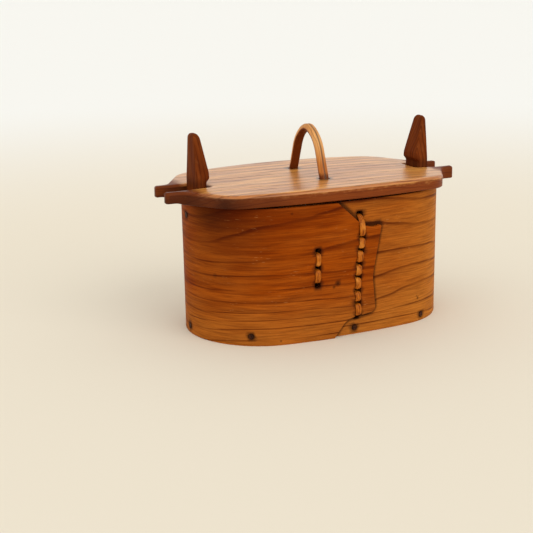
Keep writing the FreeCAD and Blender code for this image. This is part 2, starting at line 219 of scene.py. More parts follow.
def skin(name, rings):
    # closed skin over rings, capped at both ends
    size = len(rings[0])
    vertices = [point for ring in rings for point in ring]
    faces = ringFaces(len(rings), size)
    faces.append(tuple(reversed(range(size))))
    faces.append(tuple(range((len(rings) - 1) * size, len(rings) * size)))
    return newPiece(name, vertices, faces)


def sweep(name, path, wide, sectionAt):
    # rings of (across, out) points along a path; across runs along the fixed direction wide
    rings = []
    for index, here in enumerate(path):
        before, after = path[max(0, index - 1)], path[min(len(path) - 1, index + 1)]
        out = (after - before).normalized().cross(wide)
        share = index / (len(path) - 1)
        rings.append([here + wide * a + out * b for a, b in sectionAt(share)])
    piece = skin(name, rings)
    tidyMesh(piece)
    return piece


def setFloat(piece, name, values):
    attribute = piece.data.attributes.new(name, "FLOAT", "POINT")
    attribute.data.foreach_set("value", values)


def dress(piece, material, angle, shares):
    # one number per vertex for each attribute that the material reads, then shading and material
    spots = [v.co / metre for v in piece.data.vertices]
    for name, shareAt in shares.items():
        setFloat(piece, name, [shareAt(v) for v in spots])
    shadeSmooth(piece, angle)
    piece.data.materials.append(material)
    return piece


def grainMap(piece, placeOf):
    # the piece's own map, in centimetres: along the grain and across it
    layer = piece.data.uv_layers.new(name="grain")
    for loop in piece.data.loops:
        along, across = placeOf(piece.data.vertices[loop.vertex_index].co / metre)
        layer.data[loop.index].uv = (along / 10, across / 10)


def smoothStep(low, high, value):
    share = min(1.0, max(0.0, (value - low) / (high - low)))
    return share * share * (3 - 2 * share)


def mixed(a, b, share):
    return a + (b - a) * share


def valueAt(profile, height):
    for (h0, v0), (h1, v1) in zip(profile, profile[1:]):
        if height <= h1:
            return v0 + (v1 - v0) * (height - h0) / max(h1 - h0, 1e-6)
    return profile[-1][1]


def wander(x, y, seed):
    return noise.noise(Vector((x, y, seed)))


# Geometry Nodes for what repeats


def addNode(tree, kind, inputs=None, **settings):
    made = tree.nodes.new(kind)
    for name, value in settings.items():
        setattr(made, name, value)
    for key, value in (inputs or {}).items():
        if isinstance(value, bpy.types.NodeSocket):
            tree.links.new(value, made.inputs[key])
        else:
            made.inputs[key].default_value = value
    return made


def calc(tree, operation, a, b=0.0, c=0.0):
    return addNode(tree, "ShaderNodeMath", {0: a, 1: b, 2: c}, operation=operation).outputs[0]


def shapeTree(name, sizes):
    # a tree that turns points into solids; the caller adds the solid between the two ends
    tree = bpy.data.node_groups.new(name, "GeometryNodeTree")
    tree.interface.new_socket("Points", in_out="INPUT", socket_type="NodeSocketGeometry")
    for label, value in sizes.items():
        kind = "NodeSocketInt" if isinstance(value, int) else "NodeSocketFloat"
        tree.interface.new_socket(label, in_out="INPUT", socket_type=kind).default_value = value
    tree.interface.new_socket("Material", in_out="INPUT", socket_type="NodeSocketMaterial")
    tree.interface.new_socket("Geometry", in_out="OUTPUT", socket_type="NodeSocketGeometry")
    return tree, addNode(tree, "NodeGroupInput").outputs


def storedVector(tree, name):
    stored = addNode(tree, "GeometryNodeInputNamedAttribute", {"Name": name}, data_type="FLOAT_VECTOR")
    return stored.outputs[0]


def finishTree(tree, given, solid):
    # one solid on each point, turned and stretched as the point says, then made uneven
    placed = addNode(tree, "GeometryNodeInstanceOnPoints", {
        "Points": given["Points"],
        "Instance": solid,
        "Rotation": storedVector(tree, "turn"),
        "Scale": storedVector(tree, "stretch"),
    })
    real = addNode(tree, "GeometryNodeRealizeInstances", {"Geometry": placed.outputs[0]})
    pattern = addNode(tree, "ShaderNodeTexNoise", {
        "W": given["Seed"], "Scale": 420.0, "Detail": 1.0,
    }, noise_dimensions="4D")
    centred = addNode(tree, "ShaderNodeVectorMath", {
        0: pattern.outputs["Color"], 1: (0.5, 0.5, 0.5),
    }, operation="SUBTRACT")
    moved = addNode(tree, "ShaderNodeVectorMath", {0: centred.outputs[0]}, operation="SCALE")
    tree.links.new(given["Unevenness"], moved.inputs["Scale"])
    rough = addNode(tree, "GeometryNodeSetPosition", {
        "Geometry": real.outputs[0], "Offset": moved.outputs[0],
    })
    smooth = addNode(tree, "GeometryNodeSetShadeSmooth", {"Geometry": rough.outputs[0]})
    dressed = addNode(tree, "GeometryNodeSetMaterial", {
        "Geometry": smooth.outputs[0], "Material": given["Material"],
    })
    out = addNode(tree, "NodeGroupOutput")
    tree.links.new(dressed.outputs[0], out.inputs[0])


def runTree(name, tree, points, sizes, material):
    # points: foot, turns about Y and Z in degrees, stretch of the solid
    piece = newPiece(name, [foot for foot, _, _ in points], [])
    turns = piece.data.attributes.new("turn", "FLOAT_VECTOR", "POINT")
    turns.data.foreach_set("vector", [math.radians(n) for _, turn, _ in points for n in (0, *turn)])
    scales = piece.data.attributes.new("stretch", "FLOAT_VECTOR", "POINT")
    scales.data.foreach_set("vector", [n for _, _, stretch in points for n in stretch])
    modifier = piece.modifiers.new(tree.name, "NODES")
    modifier.node_group = tree
    for socket in tree.interface.items_tree:
        if socket.in_out == "INPUT" and socket.name in sizes:
            modifier[socket.identifier] = sizes[socket.name]
        if socket.in_out == "INPUT" and socket.name == "Material":
            modifier[socket.identifier] = material
    plainMesh(piece)
    for mark in ("turn", "stretch"):
        if mark in piece.data.attributes:
            piece.data.attributes.remove(piece.data.attributes[mark])
    tidyMesh(piece)
    return piece


# Finishes: shader groups shared by the woods


def newGroup(name, inputs, outputs):
    group = bpy.data.node_groups.new(name, "ShaderNodeTree")
    for label, value in inputs.items():
        socket = group.interface.new_socket(label, in_out="INPUT", socket_type="NodeSocketFloat")
        socket.default_value = value
    for label in outputs:
        group.interface.new_socket(label, in_out="OUTPUT", socket_type="NodeSocketFloat")
    return group, addNode(group, "NodeGroupInput").outputs, addNode(group, "NodeGroupOutput").inputs


def stretched(group, along, across, shift=0.0):
    # the grain map stretched along and across the grain
    place = addNode(group, "ShaderNodeUVMap", uv_map="grain").outputs[0]
    return addNode(group, "ShaderNodeMapping", {
        "Vector": place, "Location": (shift, shift * 0.37, shift * 0.11), "Scale": (along, across, 1.0),
    }).outputs[0]


def noiseOn(group, vector, detail=2.0, roughness=0.5):
    made = addNode(group, "ShaderNodeTexNoise", {
        "Vector": vector, "Scale": 1.0, "Detail": detail, "Roughness": roughness,
    })
    return made.outputs[0]


def ramp(group, value, low, high, to=(0.0, 1.0), smooth=True):
    return addNode(group, "ShaderNodeMapRange", {
        "Value": value, "From Min": low, "From Max": high, "To Min": to[0], "To Max": to[1],
    }, interpolation_type="SMOOTHSTEP" if smooth else "LINEAR").outputs[0]


def grainGroup():
    # growth lines from the ring number, and fine fibre and streaks from the grain map
    group, given, out = newGroup("woodGrain", {
        "Ring": 0.0, "Line Width": 0.2, "Wobble": 0.1,
    }, ("Line", "Fibre", "Streak", "FleckAndGlint"))
    waver = calc(group, "SUBTRACT", noiseOn(group, stretched(group, 0.9, 2.6), 3.0), 0.5)
    number = calc(group, "MULTIPLY_ADD", waver, given["Wobble"], given["Ring"])
    share = calc(group, "FRACT", number)
    whole = calc(group, "FLOOR", number)
    # a line darkens slowly and ends sharply, and each one has places where it is fainter
    start = calc(group, "SUBTRACT", 0.97, given["Line Width"])
    rise = addNode(group, "ShaderNodeMapRange", {
        "Value": share, "From Min": start, "From Max": 0.95,
    }, interpolation_type="SMOOTHERSTEP").outputs[0]
    fall = ramp(group, share, 0.95, 1.0, to=(1.0, 0.0))
    own = addNode(group, "ShaderNodeCombineXYZ", {"X": calc(group, "MULTIPLY", whole, 7.31)}).outputs[0]
    spot = addNode(group, "ShaderNodeVectorMath", {
        0: stretched(group, 0.22, 0.22), 1: own,
    }, operation="ADD").outputs[0]
    strength = ramp(group, noiseOn(group, spot, 2.0), 0.32, 0.66, to=(0.25, 1.0))
    line = calc(group, "MULTIPLY", calc(group, "MULTIPLY", rise, fall), strength)
    faintShare = calc(group, "FRACT", calc(group, "MULTIPLY", number, 2.37))
    faintFall = ramp(group, faintShare, 0.9, 1.0, to=(1.0, 0.0))
    faint = calc(group, "MULTIPLY", ramp(group, faintShare, 0.6, 0.9), faintFall)
    cloud = noiseOn(group, stretched(group, 0.5, 1.3, 9.0))
    faint = calc(group, "MULTIPLY", faint, ramp(group, cloud, 0.45, 0.7, to=(0.0, 0.32)))
    group.links.new(calc(group, "MAXIMUM", line, faint), out["Line"])
    group.links.new(noiseOn(group, stretched(group, 0.45, 11.0), 5.0, 0.7), out["Fibre"])
    group.links.new(noiseOn(group, stretched(group, 0.22, 2.8, 4.0), 3.0), out["Streak"])
    # pale flecks in patches, partly painted glints
    fleckAndGlint = noiseOn(group, stretched(group, 2.4, 13.0, 2.0), 2.0)
    patch = ramp(group, noiseOn(group, stretched(group, 0.4, 0.6, 6.0), 2.0), 0.46, 0.68)
    group.links.new(calc(group, "MULTIPLY", ramp(group, fleckAndGlint, 0.64, 0.74), patch), out["FleckAndGlint"])
    return group


def wearAndShadeGroup():
    # rubbed and dirty places, and on the handle painted shade: an edge mask broken up by noise
    group, given, out = newGroup("wearAndShadeMask", {"Edge": 0.0, "Amount": 0.5, "Breakup": 1.2}, ("Mask",))
    broken = noiseOn(group, stretched(group, 2.2, 5.5, 3.0), 4.0, 0.6)
    low = calc(group, "SUBTRACT", 1.0, given["Amount"])
    broken = calc(group, "SUBTRACT", broken, 0.5)
    total = calc(group, "MULTIPLY_ADD", broken, given["Breakup"], given["Edge"])
    mask = addNode(group, "ShaderNodeMapRange", {
        "Value": total, "From Min": low, "From Max": calc(group, "ADD", low, 0.45),
    }, interpolation_type="SMOOTHSTEP").outputs[0]
    group.links.new(mask, out["Mask"])
    return group


woodGrain = grainGroup()
wearAndShadeMask = wearAndShadeGroup()


def attributeOf(tree, name):
    return addNode(tree, "ShaderNodeAttribute", attribute_name=name).outputs["Fac"]


def mixColour(tree, share, a, b):
    made = addNode(tree, "ShaderNodeMix", data_type="RGBA")
    for index, value in ((0, share), (6, a), (7, b)):
        if isinstance(value, bpy.types.NodeSocket):
            tree.links.new(value, made.inputs[index])
        elif isinstance(value, tuple):
            made.inputs[index].default_value = (*value, 1.0)
        else:
            made.inputs[index].default_value = value
    return made.outputs[2]


def newMaterial(name):
    material = bpy.data.materials.new(name)
    material.use_nodes = True
    tree = material.node_tree
    tree.nodes.clear()
    shader = addNode(tree, "ShaderNodeBsdfPrincipled")
    out = addNode(tree, "ShaderNodeOutputMaterial")
    tree.links.new(shader.outputs[0], out.inputs[0])
    return material, tree, shader


def waxedWood(name, looks):
    # looks: colours of the plain wood, its lines, its streaks, its worn places and painted shade, and
    # its dirt and painted shade
    material, tree, shader = newMaterial(name)
    grain = addNode(tree, "ShaderNodeGroup", node_tree=woodGrain)
    tree.links.new(attributeOf(tree, "ring"), grain.inputs["Ring"])
    for label in ("Line Width", "Wobble"):
        grain.inputs[label].default_value = looks[label]
    line, fibre, streak, fleckAndGlint = (grain.outputs[index] for index in range(4))
    colour = mixColour(tree, ramp(tree, streak, 0.36, 0.64), looks["wood"], looks["streak"])
    if "pale" in looks:
        colour = mixColour(tree, attributeOf(tree, "pale"), colour, looks["pale"])
    # a tint: on the band darker red with painted shade under the lid, on the lid a painted highlight
    # along the top edge
    if "tintAndPaintedLight" in looks:
        colour = mixColour(tree, attributeOf(tree, "tintAndPaintedLight"), colour, looks["tintAndPaintedLight"])
    wearAndShade = addNode(tree, "ShaderNodeGroup", node_tree=wearAndShadeMask)
    wearAndShade.inputs["Amount"].default_value = looks["wearAndShade"]
    wearAndShade.inputs["Breakup"].default_value = looks["breakup"]
    tree.links.new(attributeOf(tree, "edge"), wearAndShade.inputs["Edge"])
    # worn colour; on the handle it is painted shade on the feet and inside the loop
    colour = mixColour(tree, wearAndShade.outputs[0], colour, looks["wornAndShade"])
    fibreShare = ramp(tree, fibre, 0.35, 0.7, to=(0.0, looks["fibre"]))
    colour = mixColour(tree, fibreShare, colour, looks["line"])
    colour = mixColour(tree, calc(tree, "MULTIPLY", line, looks["contrast"]), colour, looks["line"])
    # pale flecks, partly painted glints
    colour = mixColour(tree, calc(tree, "MULTIPLY", fleckAndGlint, looks["flecksAndGlints"]), colour, looks["fleckAndGlint"])
    # darker where there is dirt and where shade is painted: round holes, beside the tongue, where parts
    # meet
    grimeAndShade = calc(tree, "MULTIPLY", attributeOf(tree, "grimeAndShade"), 0.85)
    colour = mixColour(tree, grimeAndShade, colour, looks["grimeAndShade"])
    tree.links.new(colour, shader.inputs["Base Color"])
    rough = looks["roughness"]
    gloss = ramp(tree, fibre, 0.3, 0.75, to=(rough - 0.07, rough + 0.1), smooth=False)
    tree.links.new(calc(tree, "MULTIPLY_ADD", line, -0.05, gloss), shader.inputs["Roughness"])
    unworn = calc(tree, "MULTIPLY_ADD", wearAndShade.outputs[0], -looks["coat"], looks["coat"])
    unworn = calc(tree, "MULTIPLY", unworn, calc(tree, "MULTIPLY_ADD", line, -0.75, 1.0))
    tree.links.new(unworn, shader.inputs["Coat Weight"])
    shader.inputs["Coat Roughness"].default_value = 0.32
    shader.inputs["Specular IOR Level"].default_value = looks["shine"]
    height = calc(tree, "MULTIPLY_ADD", line, 0.9, calc(tree, "MULTIPLY", fibre, -0.55))
    height = calc(tree, "MULTIPLY_ADD", streak, 0.6, height)
    bump = addNode(tree, "ShaderNodeBump", {
        "Height": height, "Strength": 0.55, "Distance": looks["relief"] * metre,
    })
    tree.links.new(bump.outputs[0], shader.inputs["Normal"])
    return material


bandLooks = {
    "wood": (0.235, 0.036, 0.0012),
    "streak": (0.37, 0.070, 0.003),
    "pale": (0.565, 0.197, 0.027),
    # darker red of the outer ply's upper left, with painted shade under the lid
    "tintAndPaintedLight": (0.125, 0.015, 0.001),
    "line": (0.075, 0.0085, 0.0015),
    "wornAndShade": (0.40, 0.11, 0.025),
    "fleckAndGlint": (0.52, 0.21, 0.06),
    "grimeAndShade": (0.010, 0.004, 0.003),
    "Line Width": 0.17,
    "Wobble": 0.06,
    "contrast": 0.85,
    "fibre": 0.5,
    "flecksAndGlints": 0.42,
    "wearAndShade": 0.1,
    "breakup": 1.2,
    "roughness": 0.42,
    "coat": 0.0,
    "shine": 0.01,
    "relief": 0.22,
}
lidLooksWithSheen = {
    # wood and streak are lighter than the bare wood: painted sheen on the top
    "wood": (0.57, 0.205, 0.034),
    "streak": (0.90, 0.405, 0.083),
    # painted highlight along the top edge
    "tintAndPaintedLight": (0.50, 0.16, 0.030),
    "line": (0.115, 0.019, 0.003),
    "wornAndShade": (0.225, 0.049, 0.0085),
    "fleckAndGlint": (0.50, 0.20, 0.05),
    "grimeAndShade": (0.030, 0.007, 0.003),
    "Line Width": 0.26,
    "Wobble": 0.3,
    "contrast": 0.8,
    "fibre": 0.6,
    "flecksAndGlints": 0.6,
    "wearAndShade": 0.62,
    "breakup": 0.5,
    "roughness": 0.36,
    "coat": 0.8,
    "shine": 0.06,
    "relief": 0.2,
}
postLooks = {
    "wood": (0.145, 0.027, 0.004),
    "streak": (0.215, 0.048, 0.0085),
    "line": (0.050, 0.007, 0.002),
    "wornAndShade": (0.24, 0.075, 0.022),
    "fleckAndGlint": (0.30, 0.12, 0.04),
    "grimeAndShade": (0.010, 0.005, 0.004),
    "Line Width": 0.5,
    "Wobble": 0.4,
    "contrast": 0.75,
    "fibre": 0.5,
    "flecksAndGlints": 0.2,
    "wearAndShade": 0.18,
    "breakup": 1.2,
    "roughness": 0.42,
    "coat": 0.0,
    "shine": 0.01,
    "relief": 0.25,
}
handleLooks = {
    "wood": (0.52, 0.16, 0.026),
    "streak": (0.72, 0.28, 0.060),
    "pale": (0.86, 0.44, 0.15),
    "line": (0.14, 0.034, 0.007),
    # painted shade colour for the feet and the inside of the loop
    "wornAndShade": (0.14, 0.025, 0.003),
    "fleckAndGlint": (0.60, 0.30, 0.12),
    "grimeAndShade": (0.13, 0.085, 0.055),
    "Line Width": 0.4,
    "Wobble": 0.5,
    "contrast": 0.5,
    "fibre": 0.35,
    "flecksAndGlints": 0.0,
    "wearAndShade": 0.5,
    "breakup": 0.4,
    "roughness": 0.38,
    "coat": 0.05,
    "shine": 0.08,
    "relief": 0.12,
}


def plainWood(name, looks):
    # for small pieces and the hidden board: fibre from Object coordinates, drawn out along the grain
    material, tree, shader = newMaterial(name)
    place = addNode(tree, "ShaderNodeTexCoord").outputs["Object"]
    vector = addNode(tree, "ShaderNodeMapping", {"Vector": place, "Scale": looks["scale"]}).outputs[0]
    fibre = noiseOn(tree, vector, 4.0, 0.6)
    colour = mixColour(tree, ramp(tree, fibre, 0.32, 0.7), looks["light"], looks["dark"])
    if "spots" in looks:
        broad = addNode(tree, "ShaderNodeMapping", {"Vector": place, "Scale": (90.0, 90.0, 90.0)})
        spots = ramp(tree, noiseOn(tree, broad.outputs[0]), 0.5, 0.72)
        colour = mixColour(tree, spots, colour, looks["spots"])
    tree.links.new(colour, shader.inputs["Base Color"])
    rough = looks["roughness"]
    gloss = ramp(tree, fibre, 0.2, 0.8, to=(rough - 0.08, rough + 0.1))
    tree.links.new(gloss, shader.inputs["Roughness"])
    shader.inputs["Coat Weight"].default_value = looks["coat"]
    shader.inputs["Specular IOR Level"].default_value = 0.05
    shader.inputs["Coat Roughness"].default_value = 0.25
    bump = addNode(tree, "ShaderNodeBump", {
        "Height": fibre, "Strength": 0.6, "Distance": looks["relief"] * metre,
    })
    tree.links.new(bump.outputs[0], shader.inputs["Normal"])
    return material


lacingLooks = {
    "light": (0.50, 0.135, 0.009),
    "dark": (0.17, 0.030, 0.002),
    "spots": (0.64, 0.225, 0.030),
    "scale": (900.0, 900.0, 160.0),
    "roughness": 0.36,
    "coat": 0.06,
    "relief": 0.12,
}
pegLooks = {
    "light": (0.065, 0.017, 0.005),
    "dark": (0.014, 0.005, 0.003),
    "scale": (700.0, 700.0, 700.0),
    "roughness": 0.5,
    "coat": 0.05,
    "relief": 0.1,
}
boardLooks = {
    "light": (0.40, 0.20, 0.085),
    "dark": (0.22, 0.085, 0.030),
    "scale": (12.0, 260.0, 120.0),
    "roughness": 0.62,
    "coat": 0.05,
    "relief": 0.15,
}


# Band: one strip bent into an oval and lapped over itself on the front

band = {
    "thickness": 3.0,
    "height": 91.5,
    "bodyLength": 185.0,
    "bodyWidth": 107.0,
    "sideRadius": 384.0,
    "lapGap": 0.15,
    "innerEndX": -46.0,
    "middleX": 3.1,  # the oval's middle lies this far right of the lid's
    "meshStep": 2.6,
    "edgeRounding": 0.4,
    "leftLean": 1.0,  # how far the rim's left end leans out
    "tongue": (  # x, height and rounding of each corner, from the root's foot up to the rim
        (-12.7, 0.0, 0.0),
        (-3.4, 12.2, 12.0),
        (18.6, 15.0, 3.6),
        (16.0, 40.0, 30.0),
        (22.8, 74.2, 1.0),
        (17.5, 72.9, 7.0),
        (8.6, 74.3, 16.0),
        (-10.3, 91.5, 0.0),
    ),
    "innerLines": (  # x on the inner ply, and the heights there of its growth lines
        (21.9, (6.8, 12.0, 21.0, 38.0, 54.0, 75.0)),
        (53.9, (7.4, 15.0, 30.4, 43.6, 55.0, 69.8)),
        (85.9, (1.5, 13.0, 27.5, 39.4, 50.4, 69.4)),
    ),
    "outerLines": (  # the same on the outer ply
        (-92.5, (7.0, 13.0, 19.5, 28.5, 35.3, 44.5, 53.7, 65.1)),
        (-88.3, (9.5, 15.0, 20.4, 28.8, 36.3, 45.6, 54.6, 67.5)),
        (-69.5, (12.6, 18.0, 23.1, 29.9, 38.2, 48.2, 57.0, 79.7)),
        (-25.1, (11.8, 17.1, 22.4, 28.4, 37.8, 46.6, 60.5, 85.6)),
        (1.9, (12.0, 16.1, 20.3, 27.2, 36.7, 45.5, 67.6, 92.0)),
    ),
    "marks": (  # knots and dark spots: x, height, size, strength, and whether on the outer ply
        (-10.6, 38.0, 2.1, 1.0, True),
        (-13.5, 35.6, 1.1, 0.8, True),
        (56.5, 17.0, 1.1, 0.9, False),
        (55.4, 18.6, 0.7, 0.6, False),
        (-43.0, 87.5, 0.9, 0.6, True),
        (-86.0, 46.0, 1.6, 0.45, True),
        (-51.0, 3.0, 0.8, 0.8, True),
    ),
}
lacing = {
    "slotWidth": 4.8,
    "slotHeight": 4.3,
    "slotRounding": 1.3,
    "rowX": (5.0, 4.6, 4.4, 4.8, 5.5, 6.7, 7.6),
    "topX": 7.2,
    "rowHeights": (12.6, 22.6, 30.9, 40.4, 49.3, 58.6, 67.5),
    "topHeight": 82.0,
    "shortX": (-25.2, -24.9, -24.9),
    "shortSlimness": 0.85,  # of the short row's roots and slots
    "shortHeights": (38.3, 49.6, 60.7),
    "width": 4.3,
    "thickness": 1.6,
    "bulge": 0.6,
    "sink": 2.0,
}
pegs = {
    "holeDiameter": 3.9,
    "diameter": 3.5,
    "boardHeight": 4.5,
    "leftHeight": 6.6,
    "middleX": 3.8,
    "rightTurn": 67.6,
    "leftTurn": 57.4,
    "postHeights": (5.3, 82.0),
    "length": 11.5,
    "postLength": 10.6,
    "proud": 0.25,
}


def stripStretches():
    # the arcs that the strip follows, as centre, radius, start and end in degrees
    plyStep = band["thickness"] + band["lapGap"]
    halfLength = (band["bodyLength"] - 2 * band["thickness"] - plyStep / 2) / 2
    halfWidth = band["bodyWidth"] / 2 - band["thickness"]
    side = band["sideRadius"] - band["thickness"]
    end = (2 * side * halfWidth - halfWidth ** 2 - halfLength ** 2) / (2 * (side - halfLength))
    sideY = side - halfWidth
    front, back, right = Vector((0, sideY)), Vector((0, -sideY)), Vector((halfLength - end, 0))
    leftRadius = end + plyStep / 2
    leftY = -(side - end) * plyStep / (2 * sideY)
    left = Vector((-math.sqrt((side - leftRadius) ** 2 - (leftY + sideY) ** 2), leftY))

    def turnOf(centre, point):
        return math.degrees(math.atan2(point.y - centre.y, point.x - centre.x))

    innerTurn = 270 + math.degrees(math.asin(band["innerEndX"] / side))
    leftEnd = 360 + turnOf(front, left)
    pastTongue = 280.0
    return [
        (front, side, innerTurn, 360 + turnOf(front, right)),
        (right, end, 360 + turnOf(front, right), 360 + turnOf(back, right)),
        (back, side, turnOf(back, right), turnOf(back, left)),
        (left, leftRadius, turnOf(back, left), leftEnd),
        (front, side + plyStep, leftEnd, pastTongue),
    ]


stretches = stripStretches()
innerFront, rightRound, backSide, leftRound, outerFront = range(5)  # from the hidden end to the tongue
stretchLengths = [math.radians(end - start) * (radius + band["thickness"] / 2)
                  for _, radius, start, end in stretches]
stretchStarts = [sum(stretchLengths[:index]) for index in range(len(stretches))]


def alongAt(index, turn):
    # distance along the strip, at a direction seen from the centre of one of its arcs
    _, radius, start, _ = stretches[index]
    return stretchStarts[index] + math.radians(turn - start) * (radius + band["thickness"] / 2)


def alongFront(x, outerPly):
    index = outerFront if outerPly else innerFront
    return alongAt(index, 270 + math.degrees(math.asin(x / (stretches[index][1] + band["thickness"]))))


def alongRound(x, outerPly):
    # as alongFront, for places on the round ends as well
    index = outerFront if outerPly else innerFront
    _, radius, start, end = stretches[index]
    turn = 360 - math.degrees(math.acos(x / (radius + band["thickness"])))
    if start <= turn <= end:
        return alongAt(index, turn)
    index = leftRound if outerPly else rightRound
    centre, radius, _, _ = stretches[index]
    share = (x - centre.x) / (radius + band["thickness"])
    return alongAt(index, 360 - math.degrees(math.acos(max(-1.0, min(1.0, share)))))


def stretchOf(along):
    return max(i for i, start in enumerate(stretchStarts) if along >= start or i == 0)


def turnAlong(along):
    index = stretchOf(along)
    _, radius, start, _ = stretches[index]
    return start + math.degrees((along - stretchStarts[index]) / (radius + band["thickness"] / 2))


def leanAt(x, height):
    # the rim's left end leans out a little
    return -band["leftLean"] * smoothStep(38, 88, -x) * min(1.0, height / band["height"]) ** 1.3


def stripPlace(along, height, out):
    # a point on the strip: distance along it, height, and distance from its inner face
    centre, radius, _, _ = stretches[stretchOf(along)]
    place = polar(centre, radius + out, turnAlong(along))
    x = place.x + band["middleX"]
    return Vector((x + leanAt(x, max(0.0, height)), place.y, height))


def boxLoop(x, y, width, height):
    rounding = lacing["slotRounding"]
    corners = [(x + across * width / 2, y + up * height / 2, rounding)
               for across, up in ((-1, -1), (1, -1), (1, 1), (-1, 1))]
    return densified(roundedCorners(corners, 0.6), 1.4)


def roundLoop(x, y, diameter):
    return arcPoints(Vector((x, y)), diameter / 2, 0, 360, 0.85)[:-1]


def slotPlaces():
    places = []
    for outerPly in (False, True):
        for row, width in (("row", 1.0), ("short", lacing["shortSlimness"])):
            for x, height in zip(lacing[row + "X"], lacing[row + "Heights"]):
                places.append((alongFront(x, outerPly), height, width * lacing["slotWidth"]))
    places.append((alongFront(lacing["topX"], False), lacing["topHeight"], lacing["slotWidth"]))
    return places


def boardPegPlaces():
    middleTurn = math.degrees(math.asin(pegs["middleX"] / band["sideRadius"]))
    turns = (
        (innerFront, 270 + middleTurn),
        (backSide, 90 - middleTurn),
        (rightRound, 360 - pegs["rightTurn"]),
        (rightRound, 360 + pegs["rightTurn"]),
        (leftRound, 180 + pegs["leftTurn"]),
        (leftRound, 180 - pegs["leftTurn"]),
    )
    return [(alongAt(index, turn), pegs["leftHeight" if index == leftRound else "boardHeight"])
            for index, turn in turns]


def postPegPlaces(index):
    # above one another at the end of the oval
    centre, radius, _, _ = stretches[index]
    lean = math.degrees(math.asin(centre.y / (radius + band["thickness"])))
    turn = 360.0 if index == rightRound else 180.0 + lean
    return [(alongAt(index, turn), height) for height in pegs["postHeights"]]


def ringTables():
    # where the growth lines cross each measured place, from the strip's inner end to its tongue
    tables = []
    for outerPly, places in ((False, band["innerLines"]), (True, band["outerLines"])):
        for x, heights in places:
            lines = [(heights[0] - 8.0, 0.95)]
            lines += [(height, index + 1.95) for index, height in enumerate(heights)]
            lines.append((heights[-1] + 34.0, len(heights) + 2.95))
            tables.append((alongRound(x, outerPly), lines))
    return tables


bandTables = ringTables()


def ringBetween(along, height):
    # ring number between the two measured places on either side
    if along <= bandTables[0][0]:
        return valueAt(bandTables[0][1], height)
    for low, high in zip(bandTables, bandTables[1:]):
        if along <= high[0]:
            share = (along - low[0]) / (high[0] - low[0])
            return mixed(valueAt(low[1], height), valueAt(high[1], height), share)
    return valueAt(bandTables[-1][1], height)


def ringAt(along, height):
    # averaged along the strip, so that the lines have no kinks, and a little wavy
    near = [ringBetween(along + offset, height) for offset in (-14, -9, -4, 4, 9, 14)]
    warp = 0.09 * wander(along / 50, height / 40, 3.1) + 0.035 * wander(along / 13, height / 16, 8.4)
    return sum(near) / len(near) + warp


def bandOutline():
    outer = [(alongFront(x, True), z, radius) for x, z, radius in band["tongue"]]
    corners = [(0.0, 0.0, 0.0)] + outer + [(0.0, band["height"], 0.0)]
    return densified(roundedCorners(corners, 1.5), band["meshStep"])


def bandTintAndShade(place):
    # the red, dark part of the outer ply: its upper left, fading along the front, partly painted shade
    # from the lid's overhang; and painted shade just under the rim
    along, height = place
    onOuter = smoothStep(alongFront(-60, True) - 80, alongFront(-60, True) - 20, along)
    fade = 1 - smoothStep(alongFront(-80, True), alongFront(-26, True), along)
    up = smoothStep(38, 88, height + 6 * wander(along / 20, height / 9, 2.2))
    rim = smoothStep(band["height"] - 12, band["height"], height) * 0.2
    return min(1.0, onOuter * (0.02 + 0.78 * up * (0.02 + 0.98 * fade)) + rim)


def bandDarkPatch(place):
    # darker below the rim round the upper left peg
    spot = Vector((place[0] - alongRound(-89, True) - 6, (place[1] - 84) * 1.6))
    return 0.6 * math.exp(-(spot.length / 17) ** 2)


def bandPaleness(place):
    # the yellower parts: the inner ply, most at the right, and the outer one low down and at the left
    along, height = place
    patchy = 0.12 * wander(along / 18, height / 7, 6.6)
    innerEnd, outerStart = alongFront(89, False), alongFront(-88, True)
    right = smoothStep(alongFront(30, False), innerEnd + 20, along)
    inner = (0.37 + 0.63 * right) * (1 - smoothStep(innerEnd + 60, outerStart - 40, along))
    low = 0.02 + 0.49 * (1 - smoothStep(4, 42, height))
    leftAway = abs(along - alongRound(-86, True))
    left = 0.2 * smoothStep(20, 60, height) * (1 - smoothStep(5, 45, leftAway))
    return min(1.0, max(0.0, inner + low * (1 - inner) + left + patchy))


def tongueLine(away):
    # the tongue's edge as it lies on the inner ply, moved out by a distance
    line = densified(roundedCorners(band["tongue"], 1.0, closed=False), 0.8)
    line = [p for p in line if 0.5 < p.y < band["height"] - 0.5 and (p.x > -3 or p.y < 12 or p.y > 84)]
    return insetLoop(line, [-away] * len(line))[1:-1]


def besideTongue():
    # vertices along the tongue's edge, so that its shadow can be narrow
    return [Vector((alongFront(p.x, False), p.y))
            for away in (0.6, 2.2, 3.9)
            for p in tongueLine(away)[::2]
            if 1.0 < p.y < band["height"] - 1.0]


def tongueShadows(flat, vertices):
    # painted shadow on the inner ply along the tongue's edge
    tree = nearTree(tongueLine(0.0))
    centre, radius, _, _ = stretches[innerFront]
    shadows = []
    for place, vertex in zip(flat, vertices):
        spot = vertex.co.xy / metre - Vector((band["middleX"], 0))
        outward = (spot - centre).length > radius + band["thickness"] / 2
        if place.x < stretchStarts[rightRound] and outward:
            near = distanceTo(tree, Vector((spot.x, place.y)))
            shadows.append(0.92 * (1 - smoothStep(1.7, 3.6, near)))
        else:
            shadows.append(0.0)
    return shadows


def markPlaces():
    places = []
    for x, height, size, strength, outerPly in band["marks"]:
        centre = Vector((alongRound(x, outerPly), height))
        places.append((centre, size, strength))
    return places


def markMesh():
    # vertices round each mark, so that the mark can be small
    points = []
    for centre, size, _ in markPlaces():
        points.append(centre)
        points += [polar(centre, 0.7 * size, turn) for turn in range(0, 360, 60)]
        points += [polar(centre, 1.4 * size, turn) for turn in range(30, 390, 60)]
    return points


def markGrime(place):
    return max(strength * (1 - smoothStep(0.3 * size, 1.3 * size, (place - centre).length))
               for centre, size, strength in markPlaces())


